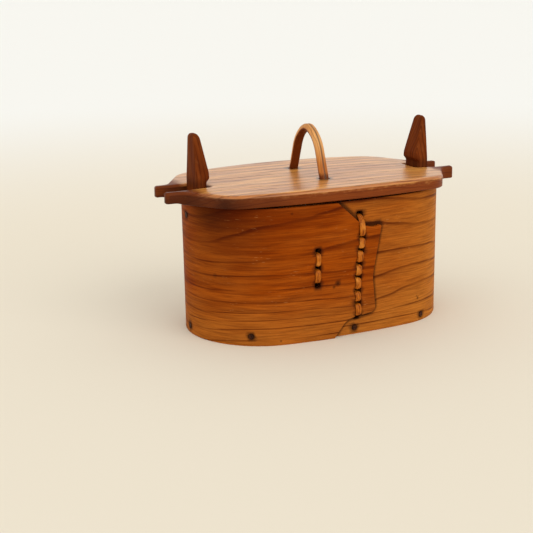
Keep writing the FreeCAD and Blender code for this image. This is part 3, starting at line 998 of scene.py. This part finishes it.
def makeBand(material):
    outline = bandOutline()
    slotLoops = [boxLoop(x, z, width, lacing["slotHeight"]) for x, z, width in slotPlaces()]
    pegSpots = boardPegPlaces() + postPegPlaces(rightRound) + postPegPlaces(leftRound)
    pegLoops = [roundLoop(x, z, pegs["holeDiameter"]) for x, z in pegSpots]
    holeTree = nearTree([point for loop in slotLoops + pegLoops for point in densified(loop, 0.6)])
    extra = [point for point in besideTongue() + markMesh() if distanceTo(holeTree, point) > 0.9]
    places, triangles = flatSheet(outline, slotLoops + pegLoops, band["meshStep"], extra)
    count = len(places)
    vertices = [stripPlace(p.x, p.y, out) for out in (band["thickness"], 0.0) for p in places]
    faces = list(triangles)
    faces += [tuple(i + count for i in reversed(triangle)) for triangle in triangles]
    faces += [(b, a, a + count, b + count) for a, b in rimEdges(triangles)]
    piece = newPiece("bentBand", vertices, faces)
    layer = piece.data.uv_layers.new(name="grain")
    for loop in piece.data.loops:
        layer.data[loop.index].uv = places[loop.vertex_index % count] / 10
    roundEdges(piece, band["edgeRounding"], angle=50)
    flat = [Vector((0, 0))] * len(piece.data.vertices)
    layer = piece.data.uv_layers["grain"]
    for loop in piece.data.loops:
        flat[loop.vertex_index] = layer.data[loop.index].uv * 10
    edgeTree = nearTree(densified(outline, 0.8))
    setFloat(piece, "ring", [ringAt(p.x, p.y) for p in flat])
    setFloat(piece, "edge", [0.8 * (1 - smoothStep(0.1, 1.2, distanceTo(edgeTree, p))) for p in flat])
    # painted shade and dirt round the slots and peg holes
    holeShadeAndGrime = [0.9 * (1 - smoothStep(0.1, 1.1, distanceTo(holeTree, p))) for p in flat]
    shadows = tongueShadows(flat, piece.data.vertices)
    marks = [max(markGrime(p), bandDarkPatch(p)) for p in flat]
    setFloat(piece, "grimeAndShade", [max(shares) for shares in zip(holeShadeAndGrime, shadows, marks)])
    setFloat(piece, "tintAndPaintedLight", [bandTintAndShade(p) for p in flat])
    setFloat(piece, "pale", [bandPaleness(p) for p in flat])
    shadeSmooth(piece)
    piece.data.materials.append(material)
    return piece


# Lacing of split root


def stitchTree():
    sizes = {"Length": 0.0092, "Width": 0.0037, "Thickness": 0.0017, "Bulge": 0.0008, "Sink": 0.002,
             "Unevenness": 0.0003, "Seed": 4}
    tree, given = shapeTree("rootStitches", sizes)
    line = addNode(tree, "GeometryNodeCurvePrimitiveLine", {"End": (0.0, 0.0, 0.001)})
    fine = addNode(tree, "GeometryNodeResampleCurve", {"Curve": line.outputs[0], "Count": 17})
    share = addNode(tree, "GeometryNodeSplineParameter").outputs["Factor"]
    angle = calc(tree, "MULTIPLY", share, math.pi)
    rise = calc(tree, "POWER", calc(tree, "SINE", angle), 0.5)
    run = calc(tree, "MULTIPLY_ADD", calc(tree, "COSINE", angle), -0.335, 0.5)
    reach = calc(tree, "ADD", given["Sink"], given["Bulge"])
    out = calc(tree, "MULTIPLY_ADD", rise, calc(tree, "MULTIPLY", reach, -1.0), given["Sink"])
    along = calc(tree, "MULTIPLY", run, given["Length"])
    place = addNode(tree, "ShaderNodeCombineXYZ", {"Y": out, "Z": along})
    path = addNode(tree, "GeometryNodeSetPosition", {
        "Geometry": fine.outputs[0], "Position": place.outputs[0],
    })
    slim = calc(tree, "MULTIPLY_ADD", calc(tree, "POWER", calc(tree, "SINE", angle), 0.4), 0.3, 0.7)
    path = addNode(tree, "GeometryNodeSetCurveRadius", {"Curve": path.outputs[0], "Radius": slim})
    circle = addNode(tree, "GeometryNodeCurvePrimitiveCircle", {"Resolution": 14, "Radius": 1.0})
    half = addNode(tree, "ShaderNodeCombineXYZ", {
        "X": calc(tree, "MULTIPLY", given["Width"], 0.5),
        "Y": calc(tree, "MULTIPLY", given["Thickness"], 0.5),
        "Z": 1.0,
    })
    section = addNode(tree, "GeometryNodeTransform", {
        "Geometry": circle.outputs[0], "Scale": half.outputs[0],
    })
    strand = addNode(tree, "GeometryNodeCurveToMesh", {
        "Curve": path.outputs[0], "Profile Curve": section.outputs[0], "Fill Caps": True,
    })
    finishTree(tree, given, strand.outputs[0])
    return tree


def stitchPoints(xs, heights, outerPly, outside, slimness, seed):
    # a stitch runs from each slot to the next, on the outside or the inside of the wall
    mean = (heights[-1] - heights[0]) / (len(heights) - 1)
    side = 1 if outside else -1
    slots = list(zip(xs, heights))
    points = []
    for index, ((x, low), (nextX, high)) in enumerate(zip(slots, slots[1:])):
        along = alongFront(x, outerPly)
        foot = stripPlace(along, low, band["thickness"] if outside else 0.0)
        lean = side * math.degrees(math.atan2(nextX - x, high - low))
        lean += 4 * wander(index * 1.9, seed, 7.0)
        turn = turnAlong(along) + 90.0 * side + 4 * wander(index * 1.3, seed, 4.0)
        wide = slimness * (1 + 0.22 * wander(index * 0.77, seed, 1.0))
        thick = 1 + 0.1 * wander(seed, index, 2.0)
        points.append((foot, (lean, turn), (wide, thick, (high - low) / mean)))
    return points, mean


def makeStitches(name, tree, rows, material):
    points, mean = [], 0
    for row in rows:
        more, mean = stitchPoints(*row)
        points += more
    sizes = {
        "Length": mean * metre,
        "Width": lacing["width"] * metre,
        "Thickness": lacing["thickness"] * metre,
        "Bulge": lacing["bulge"] * metre,
        "Sink": lacing["sink"] * metre,
    }
    return runTree(name, tree, points, sizes, material)


def makeTopStitch(material):
    # the last stitch climbs over the tongue's edge and goes into the inner ply
    along = alongFront(lacing["topX"], True)
    wall = stripPlace(along, 0, band["thickness"])
    turn = math.radians(turnAlong(along))
    out = Vector((math.cos(turn), math.sin(turn), 0))
    wide = Vector((-out.y, out.x, 0))
    low, high = lacing["rowHeights"][-1], lacing["topHeight"]
    step = band["thickness"] + band["lapGap"]
    corners = (  # distance from the tongue's face, and height
        (-2.0, low + 0.7),
        (0.5, low + 0.75),
        (1.1, low + 2.2),
        (1.15, low + 4.6),
        (0.95, low + 7.2),
        (0.3, low + 9.3),
        (-1.2, low + 11.3),
        (0.6 - step, low + 12.8),
        (0.4 - step, high - 0.9),
        (-step - 2.0, high - 0.5),
    )
    curve = bpy.data.curves.new("topStitchPath", "CURVE")
    curve.dimensions = "3D"
    spline = curve.splines.new("NURBS")
    spline.points.add(len(corners) - 1)
    for point, (away, height) in zip(spline.points, corners):
        place = wall + out * away + Vector((0, 0, height))
        point.co = (*place, 1.0)
    spline.use_endpoint_u = True
    spline.order_u = 3
    spline.resolution_u = 4
    line = bpy.data.objects.new("topStitchPath", curve)
    bpy.context.collection.objects.link(line)
    traced = bpy.data.meshes.new_from_object(line)
    path = [vertex.co.copy() for vertex in traced.vertices]
    bpy.data.objects.remove(line)
    halfWidth, halfThick = lacing["width"] / 2, lacing["thickness"] / 2

    def section(share):
        slim = 0.82 + 0.2 * math.sin(math.pi * share) + 0.03 * wander(share * 6, 0, 3.0)
        turns = [2 * math.pi * i / 14 for i in range(14)]
        return [(halfWidth * slim * math.cos(t), halfThick * slim * math.sin(t)) for t in turns]

    piece = sweep("topStitch", path, wide, section)
    piece.data.shade_smooth()
    piece.data.materials.append(material)
    return piece


# Pegs and keys


def pegTree():
    sizes = {"Length": 0.0115, "Diameter": 0.0035, "Unevenness": 0.0002, "Seed": 7}
    tree, given = shapeTree("woodPegs", sizes)
    body = addNode(tree, "GeometryNodeMeshCylinder", {
        "Vertices": 11,
        "Side Segments": 3,
        "Fill Segments": 2,
        "Radius": calc(tree, "MULTIPLY", given["Diameter"], 0.5),
        "Depth": given["Length"],
    })
    back = calc(tree, "MULTIPLY", given["Length"], -0.5)
    offset = addNode(tree, "ShaderNodeCombineXYZ", {"X": back})
    laid = addNode(tree, "GeometryNodeTransform", {
        "Geometry": body.outputs[0],
        "Translation": offset.outputs[0],
        "Rotation": (0.0, math.pi / 2, 0.0),
    })
    finishTree(tree, given, laid.outputs[0])
    return tree


def makePegs(name, tree, places, length, material):
    points = []
    for index, (along, height) in enumerate(places):
        head = stripPlace(along, height, band["thickness"] + pegs["proud"] * (1 + wander(index, 3, 1)))
        size = 1 + 0.15 * wander(index, 5, 2)
        points.append((head, (0, turnAlong(along)), (1, size, size)))
    sizes = {"Length": length * metre, "Diameter": pegs["diameter"] * metre}
    piece = runTree(name, tree, points, sizes, material)
    shadeSmooth(piece, 40)
    return piece


# Posts that hold the lid

post = {
    "halfWidth": 9.0,
    "arris": 0.7,
    "crown": 3.2,
    "crownEase": 0.36,  # how much less the crown rounds in depth than in width
    "inner": (  # height, depth from the band's inner face, rounding
        (0.0, 8.1, 0.0),
        (103.8, 8.1, 0.8),
        (106.5, 10.2, 0.6),
        (110.1, 10.2, 3.0),
        (134.8, 4.9, 0.0),
    ),
    "outer": ((0.0, 0.0, 0.0), (82.5, 0.0, 9.0), (91.5, 0.9, 9.0), (134.8, 0.9, 0.0)),
    "side": ((0.0, 9.0, 0.0), (106.5, 9.0, 20.0), (134.8, 5.2, 0.0)),
    "left": {"facing": -1, "seed": 3.0, "taller": 0.8, "slimmer": 0.0},
    "right": {"facing": 1, "seed": 9.0, "taller": 1.2, "slimmer": 1.3},
}


def postLevels():
    # closer together where the shape changes; spans are from, to and step
    top, crown = post["inner"][-1][0], post["crown"]
    spans = ((0, 80, 5.0), (80, 102, 1.5), (102, 112, 0.45), (112, top - crown, 1.5))
    heights = [low + (high - low) * i / math.ceil((high - low) / step)
               for low, high, step in spans for i in range(math.ceil((high - low) / step))]
    return heights + [top - crown * (1 - share) for share in (0, 0.2, 0.4, 0.6, 0.75, 0.88, 0.96, 1.0)]


def postSection(inner, outer, half, wallRadius, height, seed):
    arris = min(post["arris"], half * 0.4, (inner - outer) * 0.35)
    corners = [(outer, -half, arris), (inner, -half, arris), (inner, half, arris), (outer, half, arris)]
    ring = []
    points = roundedCorners(corners, arris * 0.5)
    for index, here in enumerate(points):
        ahead = points[(index + 1) % len(points)]
        parts = 5 if (index + 1) % (len(points) // 4) == 0 else 1
        ring += [here.lerp(ahead, i / parts) for i in range(parts)]
    for point in ring:
        bend = wallRadius - math.sqrt(wallRadius ** 2 - point.y ** 2)
        point.x += max(0.0, bend - outer) * (1 - smoothStep(outer + 0.1, outer + 3.0, point.x))
        carved = 0.16 * wander(point.y / 6, height / 17, 2.0 + seed)
        point.x += carved * smoothStep(92, 97, height)
    return ring


def makePost(end, material):
    facing, seed, taller, slimmer = (post[end][key] for key in ("facing", "seed", "taller", "slimmer"))
    low, high = (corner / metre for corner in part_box(end + "_post"))
    wall = low.x if facing < 0 else high.x
    wallRadius = stretches[rightRound if facing > 0 else leftRound][1]
    inner, outer, side = ([(p.x, p.y) for p in roundedCorners(post[key], 0.7, closed=False)]
                          for key in ("inner", "outer", "side"))
    top, crown = post["inner"][-1][0], post["crown"]
    rings = []
    for height in postLevels():
        over = max(0.0, height - (top - crown)) / crown
        shrink = crown * (1 - math.sqrt(max(0.0, 1 - over * over)))
        eased = shrink * post["crownEase"]
        slim = slimmer * smoothStep(108, 134, height) + eased
        ring = postSection(valueAt(inner, height) - slim, valueAt(outer, height) + eased,
                           valueAt(side, height) - shrink, wallRadius, height, seed)
        level = height + taller * smoothStep(108, 134, height)
        lean = 0.45 * leanAt(facing * 100, height)
        rings.append([(wall - facing * p.x + lean, -facing * p.y, level) for p in ring])
    piece = skin(end + "Post", rings)
    tidyMesh(piece)
    grainMap(piece, lambda v: (v.z, v.y + 0.6 * v.x))
    return dress(piece, material, 45, {
        "ring": lambda v: postRing(v, seed),
        "edge": lambda v: postEdge(v, side),
        "grimeAndShade": postShadeAtLid,
    })


def postRing(v, seed):
    return (v.y + 0.9 * v.x) / 2.6 + 0.8 * wander(v.z / 40, v.y / 12, seed) + 40


def postEdge(v, side):
    return 0.8 * (1 - smoothStep(0.2, 1.8, valueAt(side, v.z) - abs(v.y)))


def postShadeAtLid(v):
    # painted shade where the post comes through the lid
    return 0.4 * (1 - smoothStep(0.5, 6.0, abs(v.z - 102.5)))


# Lid

lid = {
    "halfLength": 109.3,
    "halfWidth": 57.3,
    "sideRadius": 318.0,
    "shoulderRadius": 24.0,
    "slope": 58.0,
    "hollowRadius": 8.0,
    "prongWidth": 5.3,
    "prongLength": 5.7,
    "tipRounding": 2.2,
    "tipInnerRounding": 1.5,
    "notchRounding": 1.2,
    "notchHalfWidth": 9.5,
    "notchClearance": 0.3,
    "bottom": 92.0,
    "bow": 1.2,
    "restX": 95.6,
    "thickness": 8.6,
    "rightSink": 0.8,
    "tipLift": 1.1,
    # how much longer each prong is, by the signs of its x and y
    "tips": {(-1, -1): 0.8, (-1, 1): -1.2, (1, 1): 0.8, (1, -1): 0.0},
    "topRounding": 2.1,
    "bottomRounding": 0.9,
    "meshStep": 3.6,
    "handWork": 0.2,
}
handle = {
    "rise": 34.3,
    "width": 6.4,
    "thickness": 4.4,
    "apexRadius": 11.0,
    "apexTurn": 20.0,
    "flankRadius": 25.0,
    "legTurn": 70.0,
    "tail": 8.0,
    "holePlay": 0.35,
    "groove": 0.5,
    "keyDrop": 2.2,
    "keyLength": 15.0,
    "keyDiameter": 2.7,
}


def lidMiddle(x):
    # the board's bow, and its right end that has sunk a little
    bow = lid["bow"] * max(0.0, 1 - (x / lid["restX"]) ** 2)
    return bow - lid["rightSink"] * smoothStep(55, 109, x)


def lidBottom(x):
    return lid["bottom"] + lidMiddle(x) + lid["tipLift"] * smoothStep(96.5, 104, -x)


def lidTop(x):
    return lid["bottom"] + lidMiddle(x) + lid["thickness"]


def lidQuadrant(notchEnd):
    # from the middle of the long side round the shoulder and the prong to the middle of the notch
    half = lid["notchHalfWidth"] + lid["prongWidth"]
    slopeTurn = 90 - lid["slope"]
    hollow = Vector((lid["halfLength"] - lid["prongLength"], half + lid["hollowRadius"]))
    slopeEnd = polar(hollow, lid["hollowRadius"], 180 + slopeTurn)
    side = Vector((0, lid["halfWidth"] - lid["sideRadius"]))
    start = polar(slopeEnd, -lid["shoulderRadius"], slopeTurn)
    track = polar(Vector((0, 0)), 1, 90 + slopeTurn)
    offset = start - side
    reach = lid["sideRadius"] - lid["shoulderRadius"]
    along = offset.dot(track)
    shoulder = start + track * (math.sqrt(along ** 2 - offset.dot(offset) + reach ** 2) - along)
    sideTurn = math.degrees(math.atan2(shoulder.y - side.y, shoulder.x - side.x))
    points = arcPoints(side, lid["sideRadius"], 90, sideTurn, 3.0)
    points += arcPoints(shoulder, lid["shoulderRadius"], sideTurn, slopeTurn, 2.0)[1:]
    points += arcPoints(hollow, lid["hollowRadius"], 180 + slopeTurn, 270, 1.6)
    corners = (
        (hollow.x, half, 0),
        (lid["halfLength"], half, lid["tipRounding"]),
        (lid["halfLength"], lid["notchHalfWidth"], lid["tipInnerRounding"]),
        (notchEnd, lid["notchHalfWidth"], lid["notchRounding"]),
        (notchEnd, 0, 0),
    )
    return points + roundedCorners(corners, 0.5, closed=False)[1:]


def lidOutline():
    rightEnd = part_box("right_post")[0].x / metre - lid["notchClearance"]
    leftEnd = -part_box("left_post")[1].x / metre - lid["notchClearance"]
    right, left = lidQuadrant(rightEnd), lidQuadrant(leftEnd)
    loop = list(reversed(right)) + [Vector((-p.x, p.y)) for p in left[1:]]
    loop += [Vector((-p.x, -p.y)) for p in reversed(left[:-1])]
    loop += [Vector((p.x, -p.y)) for p in right[1:-1]]
    for point in loop:
        # no two prongs are equally long
        longer = lid["tips"][(1 if point.x > 0 else -1, 1 if point.y > 0 else -1)]
        point.x *= 1 + longer * smoothStep(103.6, 108.0, abs(point.x)) / lid["halfLength"]
    return densified(loop, 2.8)


def roundingRoom(loop, wanted):
    # the edge's rounding, kept smaller than each corner that it runs round
    room = []
    count = len(loop)
    for index, here in enumerate(loop):
        before, after = loop[index - 1], loop[(index + 1) % count]
        turn = -(here - before).angle_signed(after - here, 0.0)
        radius = (after - before).length / 2 / turn if turn > 1e-4 else 100.0
        room.append(min(wanted, 0.75 * radius))
    for _ in range(8):
        room = [min(room[i], room[i - 1] + 0.3, room[(i + 1) % count] + 0.3) for i in range(count)]
    return room


def handleLine(offset, step=1.2):
    # right half of the root's side view, from its top to its tail, as (y, height)
    apex = Vector((0, lidTop(0) + handle["rise"] - handle["apexRadius"]))
    turn, legTurn = 90 - handle["apexTurn"], 90 - handle["legTurn"]
    flank = polar(apex, handle["apexRadius"] - handle["flankRadius"], turn)
    points = arcPoints(apex, handle["apexRadius"] - offset, 90, turn, step)
    points += arcPoints(flank, handle["flankRadius"] - offset, turn, legTurn, step)[1:]
    way = polar(Vector((0, 0)), 1, legTurn - 90)
    length = (points[-1].y - lidBottom(0) + handle["tail"]) / -way.y
    count = math.ceil(length / 1.5)
    start = points[-1]
    return points + [start + way * (length * (i + 1) / count) for i in range(count)]


def legY(offset, height):
    return valueAt([(p.y, p.x) for p in reversed(handleLine(offset))], height)


def handleHole(height, side):
    play, half = handle["holePlay"], handle["width"] / 2 + handle["holePlay"]
    near, far = legY(handle["thickness"], height) - play, legY(0, height) + play
    corners = [(x, y, 0.9) for x, y in ((half, near), (half, far), (-half, far), (-half, near))]
    loop = roundedCorners(corners, 0.6)
    return loop if side > 0 else [Vector((p.x, -p.y)) for p in reversed(loop)]


def lidRings(loop):
    # the rounded edge, from the bottom's inner ring up and over to the top's
    rings = []
    sides = ((lid["bottomRounding"], lidBottom, 1), (lid["topRounding"], lidTop, -1))
    for wanted, surface, sign in sides:
        room = roundingRoom(loop, wanted)
        edge = []
        for degrees in (0, 15, 32, 50, 70, 90):
            turn = math.radians(degrees)
            inner = insetLoop(loop, [r * (1 - math.sin(turn)) for r in room])
            edge.append([(p.x, p.y, surface(p.x) + sign * r * (1 - math.cos(turn)))
                         for p, r in zip(inner, room)])
        rings += edge if sign > 0 else list(reversed(edge))
    return rings


def addLidFace(vertices, faces, ring, surface):
    # the board's bottom or top with its two holes; gives back where the holes' points start
    cap = [Vector(point[:2]) for point in ring]
    holes = [handleHole(surface(0), side) for side in (-1, 1)]
    places, triangles = flatSheet(cap, holes, lid["meshStep"])
    capTree = nearTree(densified(cap, 1.0))
    base = len(vertices)
    for place in places:
        planed = lid["handWork"] * wander(place.x / 30, place.y / 13, 5.0)
        planed *= smoothStep(0, 6, distanceTo(capTree, place))
        vertices.append((place.x, place.y, surface(place.x) + planed))
    upward = surface is lidTop
    faces.extend(tuple(base + i for i in (t if upward else reversed(t))) for t in triangles)
    return [base + len(ring), base + len(ring) + len(holes[0])]


def makeLid(material):
    loop = lidOutline()
    rings = lidRings(loop)
    vertices = [point for ring in rings for point in ring]
    faces = ringFaces(len(rings), len(loop))
    holeStarts = [addLidFace(vertices, faces, rings[0], lidBottom),
                  addLidFace(vertices, faces, rings[-1], lidTop)]
    around = len(handleHole(lidTop(0), 1))
    for low, high in zip(*holeStarts):
        faces += [(low + (i + 1) % around, low + i, high + i, high + (i + 1) % around)
                  for i in range(around)]
    piece = newPiece("lidBoard", vertices, faces)
    tidyMesh(piece)
    lidGrain(piece, loop)
    edgeTree = nearTree(densified(loop, 1.0))
    holeTree = nearTree([p for side in (-1, 1) for p in densified(handleHole(lidTop(0), side), 0.5)])
    return dress(piece, material, 40, {
        "ring": lidRing,
        "edge": lambda v: lidEdge(v, distanceTo(edgeTree, v)),
        # painted shade and dirt round the handle's holes
        "grimeAndShade": lambda v: max(1 - smoothStep(0.2, 2.2, distanceTo(holeTree, v)), lidDarkening(v)),
        "tintAndPaintedLight": lidArrisHighlight,
    })


def lidGrain(piece, loop):
    # the grain map runs along the board, and round its edge
    line = densified(loop, 1.0)
    tree = nearTree(line)
    walked = walkedAlong(line)
    layer = piece.data.uv_layers.new(name="grain")
    for face in piece.data.polygons:
        for index in face.loop_indices:
            v = piece.data.vertices[piece.data.loops[index].vertex_index].co / metre
            _, nearest, away = tree.find((v.x, v.y, 0))
            onEdge = abs(face.normal.z) < 0.6 and away < 4
            along, across = (walked[nearest], v.z) if onEdge else (v.x, v.y)
            layer.data[index].uv = (along / 10, across / 10)


def lidRing(v):
    level = v.y + 2.5 * wander(v.x / 80, v.y / 50, 1.7) + 0.8 * wander(v.x / 22, v.y / 10, 6.2)
    level += 2.0 * (v.z - 97) - 0.0005 * (v.x - 30) ** 2 * (0.4 + v.y / 120)
    return level / 9.0 + 60


def lidArrisHighlight(v):
    # painted highlight along the rounded top edge
    drop = lidTop(v.x) - v.z
    return smoothStep(0.05, 0.5, drop) * (1 - smoothStep(1.0, 2.0, drop))


def lidDarkening(v):
    # darker prongs, and a darker side towards the left
    prong = 0.4 * smoothStep(84, 104, abs(v.x))
    side = smoothStep(1.0, 2.4, lidTop(v.x) - v.z) * 0.72 * smoothStep(22, 86, -v.x)
    return max(prong, side) * (1 + 0.6 * wander(v.x / 16, v.y / 12, 3.7))


def lidEdge(v, distance):
    side = smoothStep(1.2, 2.6, lidTop(v.x) - v.z)
    ends = 0.95 * smoothStep(76, 99, abs(v.x))
    rim = 0.7 * (1 - smoothStep(0.6, 3.0, distance)) * (1 - lidArrisHighlight(v))
    return max(side, rim, ends)


# Handle of split root


def handleSection(share):
    half, thick = handle["width"] / 2, handle["thickness"] / 2
    groove = handle["groove"] / thick
    profile = (  # shares of the half width and half thickness, from the groove round to the inside
        (0.0, 1 - groove),
        (0.07, 1 - groove * 0.8),
        (0.16, 0.99),
        (0.45, 1.0),
        (0.68, 0.86),
        (0.87, 0.5),
        (0.98, 0.05),
        (0.97, -0.45),
        (0.84, -0.84),
        (0.58, -0.98),
        (0.2, -1.0),
    )
    right = [(half * a, thick * b) for a, b in profile]
    left = [(-a, b) for a, b in reversed(right[1:])]
    slim = 1 + 0.05 * wander(share * 9, 0, 4.0)
    return [(a * slim, b) for a, b in right + left]


def makeHandle(material):
    half = handleLine(handle["thickness"] / 2)
    line = [Vector((0, -p.x, p.y)) for p in reversed(half)] + [Vector((0, p.x, p.y)) for p in half[1:]]
    piece = sweep("handleRoot", line, Vector((-1, 0, 0)), handleSection)
    tree = nearTree(line)
    walked = walkedAlong(line)
    grainMap(piece, lambda v: (walked[tree.find((0, v.y, v.z))[1]], v.x + 0.4 * abs(v.y)))
    return dress(piece, material, 50, {
        "ring": handleRing,
        "edge": handleShade,
        "pale": handlePaleness,
        "grimeAndShade": grooveDarkening,
    })


def handleRing(v):
    return v.x / 1.9 + 0.5 * wander(v.z / 20, v.y / 9, 7.5) + 30


def grooveDarkening(v):
    # darker along the groove on the outside of the loop
    return 0.9 * (1 - smoothStep(0.2, 0.75, abs(v.x))) * outside(v)


def handleShade(v):
    # painted shade on the feet, next to the lid, and on the inside of the loop
    return max(0.9 * (1 - smoothStep(1.0, 9.0, abs(v.z - lidTop(0)))), 0.95 * (1 - outside(v)))


def handlePaleness(v):
    # paler on the outside of the loop, palest on the flanks
    rise = v.z - lidTop(0)
    return smoothStep(8, 25, rise) * (1 - 0.45 * smoothStep(25, 34, rise)) * outside(v)


def outside(v):
    middle = handle["thickness"] / 2
    return 1.0 if abs(v.y) > legY(middle, v.z) or v.z > lidTop(0) + handle["rise"] - middle else 0.0


def makeKeys(tree, material):
    points = []
    height = lidBottom(0) - handle["keyDrop"]
    for side in (-1, 1):
        y = side * legY(handle["thickness"] / 2, height)
        points.append((Vector((handle["keyLength"] / 2, y, height)), (0, 4 * side), (1, 1, 1)))
    sizes = {"Length": handle["keyLength"] * metre, "Diameter": handle["keyDiameter"] * metre}
    return runTree("handleKeys", tree, points, sizes, material)


# Floor, light and camera

room = {
    "floorSize": 60.0,
    "floorColour": (0.82, 0.75, 0.62),
    "farColour": (0.90, 0.90, 0.87),
    "worldColour": (1.0, 0.985, 0.95),
    "worldStrength": 0.85,
    "seenStrength": 1.03,
    "fade": (0.3, 1.3),
}
cameraSet = {
    "place": (-0.3790, -0.7329, 0.2505),
    "heading": 25.29,
    "pitch": 14.6,
    "roll": -0.0114,  # radians, the other turns degrees
    "lens": 81.95,
    "sensor": 36.0,
}
lamps = (  # direction that the light comes from, spread, strength, colour
    ((0.45, -1.4, 0.9), 50.0, 0.86, (1.0, 0.985, 0.96)),
    ((-1.3, -0.5, 1.2), 60.0, 0.28, (0.97, 0.98, 1.0)),
)


def makeFloor():
    # grows paler with the distance, so that it has no edge against the wall behind
    half = room["floorSize"] / 2 / metre
    corners = [(-half, -half, 0), (half, -half, 0), (half, half, 0), (-half, half, 0)]
    piece = newPiece("floor", corners, [(0, 1, 2, 3)])
    material, tree, shader = newMaterial("paleFloor")
    place = addNode(tree, "ShaderNodeTexCoord").outputs["Object"]
    away = addNode(tree, "ShaderNodeVectorMath", {0: place}, operation="LENGTH").outputs["Value"]
    colour = mixColour(tree, ramp(tree, away, *room["fade"]), room["floorColour"], room["farColour"])
    tree.links.new(colour, shader.inputs["Base Color"])
    shader.inputs["Roughness"].default_value = 0.8
    shader.inputs["Specular IOR Level"].default_value = 0.05
    piece.data.materials.append(material)


def makeWorld():
    # one brightness for the light on the box, another for what the camera and reflections see
    world = bpy.data.worlds.new("studio")
    bpy.context.scene.world = world
    world.use_nodes = True
    tree = world.node_tree
    tree.nodes.clear()
    lit = addNode(tree, "ShaderNodeBackground", {
        "Color": (*room["worldColour"], 1), "Strength": room["worldStrength"],
    })
    seen = addNode(tree, "ShaderNodeBackground", {
        "Color": (*room["farColour"], 1), "Strength": room["seenStrength"],
    })
    ray = addNode(tree, "ShaderNodeLightPath").outputs
    direct = calc(tree, "MAXIMUM", ray["Is Camera Ray"], ray["Is Glossy Ray"])
    choice = addNode(tree, "ShaderNodeMixShader", {0: direct, 1: lit.outputs[0], 2: seen.outputs[0]})
    out = addNode(tree, "ShaderNodeOutputWorld")
    tree.links.new(choice.outputs[0], out.inputs[0])


def makeLamps():
    for index, (source, spread, strength, colour) in enumerate(lamps):
        lamp = bpy.data.lights.new("softLight%d" % index, "SUN")
        lamp.angle = math.radians(spread)
        lamp.energy = strength
        lamp.color = colour
        holder = bpy.data.objects.new(lamp.name, lamp)
        holder.location = source
        holder.rotation_euler = (-Vector(source)).to_track_quat("-Z", "Y").to_euler()
        bpy.context.collection.objects.link(holder)


def makeCamera():
    lens = bpy.data.cameras.new("camera")
    lens.sensor_width = cameraSet["sensor"]
    lens.lens = cameraSet["lens"]
    lens.clip_start = 0.01
    camera = bpy.data.objects.new("camera", lens)
    turn = Matrix.Rotation(-math.radians(cameraSet["heading"]), 4, "Z")
    tilt = Matrix.Rotation(math.radians(90 - cameraSet["pitch"]), 4, "X")
    roll = Matrix.Rotation(cameraSet["roll"], 4, "Z")
    camera.matrix_world = Matrix.Translation(cameraSet["place"]) @ turn @ tilt @ roll
    bpy.context.collection.objects.link(camera)
    bpy.context.scene.camera = camera
    bpy.context.scene.view_settings.view_transform = "Standard"


# Putting it together

rootMaterial = plainWood("rootLacing", lacingLooks)
pegMaterial = plainWood("pegWood", pegLooks)
boardMaterial = plainWood("boardPine", boardLooks)

makeCamera()
makeWorld()
makeLamps()
makeFloor()
print("stage ready")

finished = []  # piece, body, slot and the CAD nodes that the piece takes the place of


def keep(piece, body, slotName, *nodes):
    finished.append((piece, body, slotName, nodes))


keep(makeBand(waxedWood("bandPine", bandLooks)), "box", "band_pine", "side_band")
print("band bent")
stitches = stitchTree()
longSlots = lacing["rowX"], lacing["rowHeights"]
shortSlots = lacing["shortX"], lacing["shortHeights"]
slim = lacing["shortSlimness"]
longRow = [(*longSlots, True, True, 1.0, 0.3), (*longSlots, False, False, 1.0, 1.7)]
shortRow = [(*shortSlots, True, True, slim, 2.6), (*shortSlots, False, False, slim, 3.2)]
longStitches = makeStitches("overlapStitches", stitches, longRow, rootMaterial)
keep(longStitches, "box", "root_lacing", "overlap_lacing")
keep(makeTopStitch(rootMaterial), "box", "root_lacing")
shortStitches = makeStitches("shortStitches", stitches, shortRow, rootMaterial)
keep(shortStitches, "box", "root_lacing", "short_lacing")
print("lacing sewn")
pegShape = pegTree()
for name, places, length, node in (
    ("bottomPegs", boardPegPlaces(), pegs["length"], "bottom_pegs"),
    ("rightPostPegs", postPegPlaces(rightRound), pegs["postLength"], "right_post_pegs"),
    ("leftPostPegs", postPegPlaces(leftRound), pegs["postLength"], "left_post_pegs"),
):
    keep(makePegs(name, pegShape, places, length, pegMaterial), "box", "peg_wood", node)
print("pegs driven")
postMaterial = waxedWood("postWood", postLooks)
for end in ("left", "right"):
    keep(makePost(end, postMaterial), "box", "post_wood", end + "_post")
print("posts carved")
keep(makeLid(waxedWood("lidPineWithSheen", lidLooksWithSheen)), "lid", "lid_pine", "lid_board")
keep(makeHandle(waxedWood("rootHandle", handleLooks)), "lid", "root_handle", "handle_loop")
keep(makeKeys(pegShape, pegMaterial), "lid", "peg_wood", "handle_keys")
print("lid and handle made")

for piece, body, slotName, nodes in finished:
    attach(piece, body)
    if nodes:
        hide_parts(*nodes)
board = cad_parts["bottom_board"]
board.data.materials.clear()
board.data.materials.append(boardMaterial)
